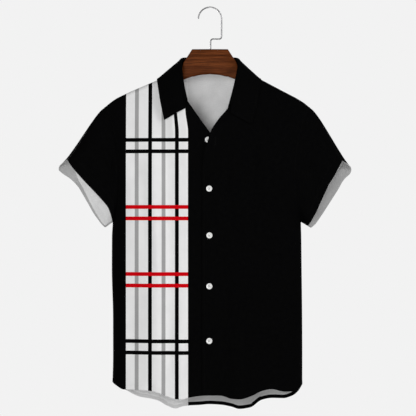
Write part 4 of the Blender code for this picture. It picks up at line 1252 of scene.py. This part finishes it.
def hanger_board(material):
    """The wooden board: flat, with round edges, a taller middle and arms that follow the shoulders."""
    table = HANGER["across"]
    across = np.unique(np.concatenate([np.linspace(a, b, max(2, int((b - a) / HANGER_STEP) + 2))
                                       for a, b in zip(table[:-1], table[1:])]))
    _, round_end, _, arm_start = HANGER_MIDDLE["across"]
    rows = []
    for x in across:
        tall = float((smooth if x <= round_end else straight)(table, HANGER["tall"], x))
        seam = [np.interp(s * x, SHOULDER_SEAM["across"], SHOULDER_SEAM["height"]) for s in (-1, 1)]
        middle = np.interp(x, HANGER_MIDDLE["across"], HANGER_MIDDLE["top"])
        top = middle if x <= arm_start else min(seam) - HANGER_CLEAR
        rows.append((x, top, top - tall))
    stations = [(-x, top, bottom) for x, top, bottom in rows[:0:-1]] + rows
    bm = bmesh.new()
    loops = []
    for station in stations:
        ring = [bm.verts.new(np.array(p) * MM) for p in board_section(*station)]
        loops.append([bm.edges.new((a, b)) for a, b in zip(ring, ring[1:] + ring[:1])])
    for a, b in zip(loops, loops[1:]):
        bmesh.ops.bridge_loops(bm, edges=a + b)
    bmesh.ops.holes_fill(bm, edges=loops[0] + loops[-1], sides=0)
    bmesh.ops.recalc_face_normals(bm, faces=bm.faces)
    return finish_mesh("hanger_board", bm, material, 28)


def arc(centre, radius, start, end, count):
    turns = np.radians(np.linspace(start, end, count))
    return [(centre[0] + radius * math.cos(t), 0.0, centre[1] + radius * math.sin(t)) for t in turns]


def hanger_wire(material):
    """The bent wire hook, with a rounded tip."""
    stem_x, stem_z = HOOK_STEM
    jog, bend = HOOK_JOG_HEIGHT, HOOK_BEND
    route = [(stem_x, 0.0, stem_z), (stem_x, 0.0, HOOK_STEM_TOP)]
    route += arc((stem_x + bend, jog - bend), bend, 180, 90, POINTS["bend"])
    route += arc((HOOK_RADIUS - bend, jog + bend), bend, 270, 360, POINTS["bend"])
    route += arc((0.0, WIRE_RADIUS - HOOK_RADIUS), HOOK_RADIUS, 0, HOOK_END, POINTS["hook"])
    tip, before = np.array(route[-1]), np.array(route[-2])
    ahead = unit(tip - before)
    route += [tuple(tip + ahead * step) for step in HOOK_TIP["ahead"]]
    curve = bpy.data.curves.new("hanger_wire", "CURVE")
    curve.dimensions = "3D"
    curve.bevel_depth = WIRE_RADIUS * MM
    curve.bevel_resolution = 6
    curve.use_fill_caps = True
    spline = curve.splines.new("POLY")
    spline.points.add(len(route) - 1)
    for point, spot in zip(spline.points, route):
        point.co = (*(np.array(spot) * MM), 1)
    for point, radius in zip(spline.points[-len(HOOK_TIP["radius"]):], HOOK_TIP["radius"]):
        point.radius = radius
    spline.use_smooth = True
    curve.materials.append(material)
    return new_object("hanger_wire", curve)


# ============================== studio
CAMERA_AIM = (-4.2, -420.2)      # across and height of the photo's middle
CAMERA_AWAY = 7000.0
PHOTO_WIDTH = 873.6              # what the photo takes in at the shirt
SENSOR = 36.0
SKY = 0.888                      # the plain backdrop
SKY_LIGHT = 0.22                 # and how brightly it lights the shirt
FLOOR_RADIUS = 3.2               # in metres, as are the places of the lamps
FLOOR_HEIGHT = -1.35
LAMPS = dict(
    name=("key", "front", "left", "back"),
    place=((3.3, -2.6, 1.4), (-0.4, -4.3, -0.7), (-1.7, -3.8, 0.45), (-0.6, 3.8, -0.5)),
    size=(1.6, 1.3, 1.6, 2.0),
    power=(80.0, 49.0, 43.0, 80.0),
)


def studio():
    """The camera where the photo's would be, four soft lamps, a plain backdrop and a floor far below."""
    scene = bpy.context.scene
    lens = bpy.data.cameras.new("photo_camera")
    lens.sensor_width = SENSOR
    lens.lens = SENSOR * CAMERA_AWAY / PHOTO_WIDTH
    lens.clip_end = 100
    camera = new_object("photo_camera", lens)
    camera.location = (CAMERA_AIM[0] * MM, -CAMERA_AWAY * MM, CAMERA_AIM[1] * MM)
    camera.rotation_euler = (math.pi / 2, 0, 0)
    scene.camera = camera
    for name, spot, size, power in rows_of(LAMPS, "name", "place", "size", "power"):
        light = bpy.data.lights.new(name + "_light", "AREA")
        light.shape, light.size, light.energy = "DISK", size, power
        lamp = new_object(name + "_light", light)
        lamp.location = spot
        away = np.array(spot) - (0, 0, CAMERA_AIM[1] * MM)
        lamp.rotation_euler = frame_at((0, 0, 0), np.cross((0, 0, 1), away), away).to_euler()
    scene.world = bpy.data.worlds.new("studio")
    scene.world.use_nodes = True
    tree = scene.world.node_tree
    background = tree.nodes["Background"]
    background.inputs["Color"].default_value = (1, 1, 1, 1)
    seen = add(tree, "ShaderNodeLightPath").outputs["Is Camera Ray"]
    tree.links.new(change(tree, seen, 0.0, 1.0, SKY_LIGHT, SKY), background.inputs["Strength"])
    scene.view_settings.view_transform = "Standard"
    bm = bmesh.new()
    bmesh.ops.create_circle(bm, segments=64, radius=FLOOR_RADIUS, cap_ends=True,
                            matrix=Matrix.Translation((0, 0, FLOOR_HEIGHT)))
    floor = finish_mesh("studio_floor", bm, plain_material("studio_floor"))


# ============================== putting it together
def make_shirt():
    outside = printed_cloth("printed_cloth", stripe=True, bars=True)
    outside_back = printed_cloth("printed_back_cloth", stripe=True, bars=False)
    black = printed_cloth("black_cloth", stripe=False, bars=False)
    bare = bare_cloth("bare_cloth", stripe=True)
    bare_sleeve = bare_cloth("bare_sleeve_cloth", stripe=False)
    # the turned hems inside the cuffs get painted shade, darker in the left cuff
    painted_shade_bands = {side: bare_cloth(side + "_cuff_band_painted_shade", stripe=False, shade=shade)
             for side, shade in CUFF_BAND_PAINTED_SHADE.items()}
    thread, stripe_thread = thread_material("black_thread", False), thread_material("stripe_thread", True)

    right = place(body_piece("right_front", "front", "right", [outside, bare], False),
                  "printed_cloth", "right_front")
    left = place(body_piece("left_front", "front", "left", [black, bare], False), "black_cloth", "left_front")
    back = place(body_piece("back", "back", "back", [outside_back, bare], True), "black_cloth", "back")
    sewn = {side: place(body_stitches(side, thread if side == "left" else stripe_thread), "black_cloth")
            for side in ("right", "left", "back")}

    for side in ("right", "left"):
        sleeve, line, normal = sleeve_piece(side, [black, bare_sleeve, painted_shade_bands[side]])
        place(sleeve, "black_cloth", side + "_sleeve")
        cuff = place(stitches(side + "_cuff_stitches", [(line, normal)], thread), "black_cloth")

    collar, lines = collar_piece(black)
    place(collar, "black_cloth", "collar")
    sewn_collar = place(stitches("collar_stitches", lines, thread), "black_cloth")


def make_buttons():
    resin, matrices = plain_material("button_resin"), []
    for number, (x, z) in enumerate(rows_of(BUTTONS, "across", "height"), 1):
        button, matrix = button_piece(number, x, z, resin)
        place(button, "white_plastic", "button_%d" % number)
        matrices.append(matrix)
    place(button_threads(matrices, plain_material("button_thread")), "white_plastic")
    place(buttonholes(bpy.data.materials["black_thread"]), "black_cloth")


def make_hanger():
    place(hanger_board(wood_material()), "brown_wood", "hanger_body")
    place(hanger_wire(plain_material("drawn_steel")), "steel_wire", "hanger_hook")


make_shirt()
make_buttons()
make_hanger()
studio()
bpy.context.view_layer.update()
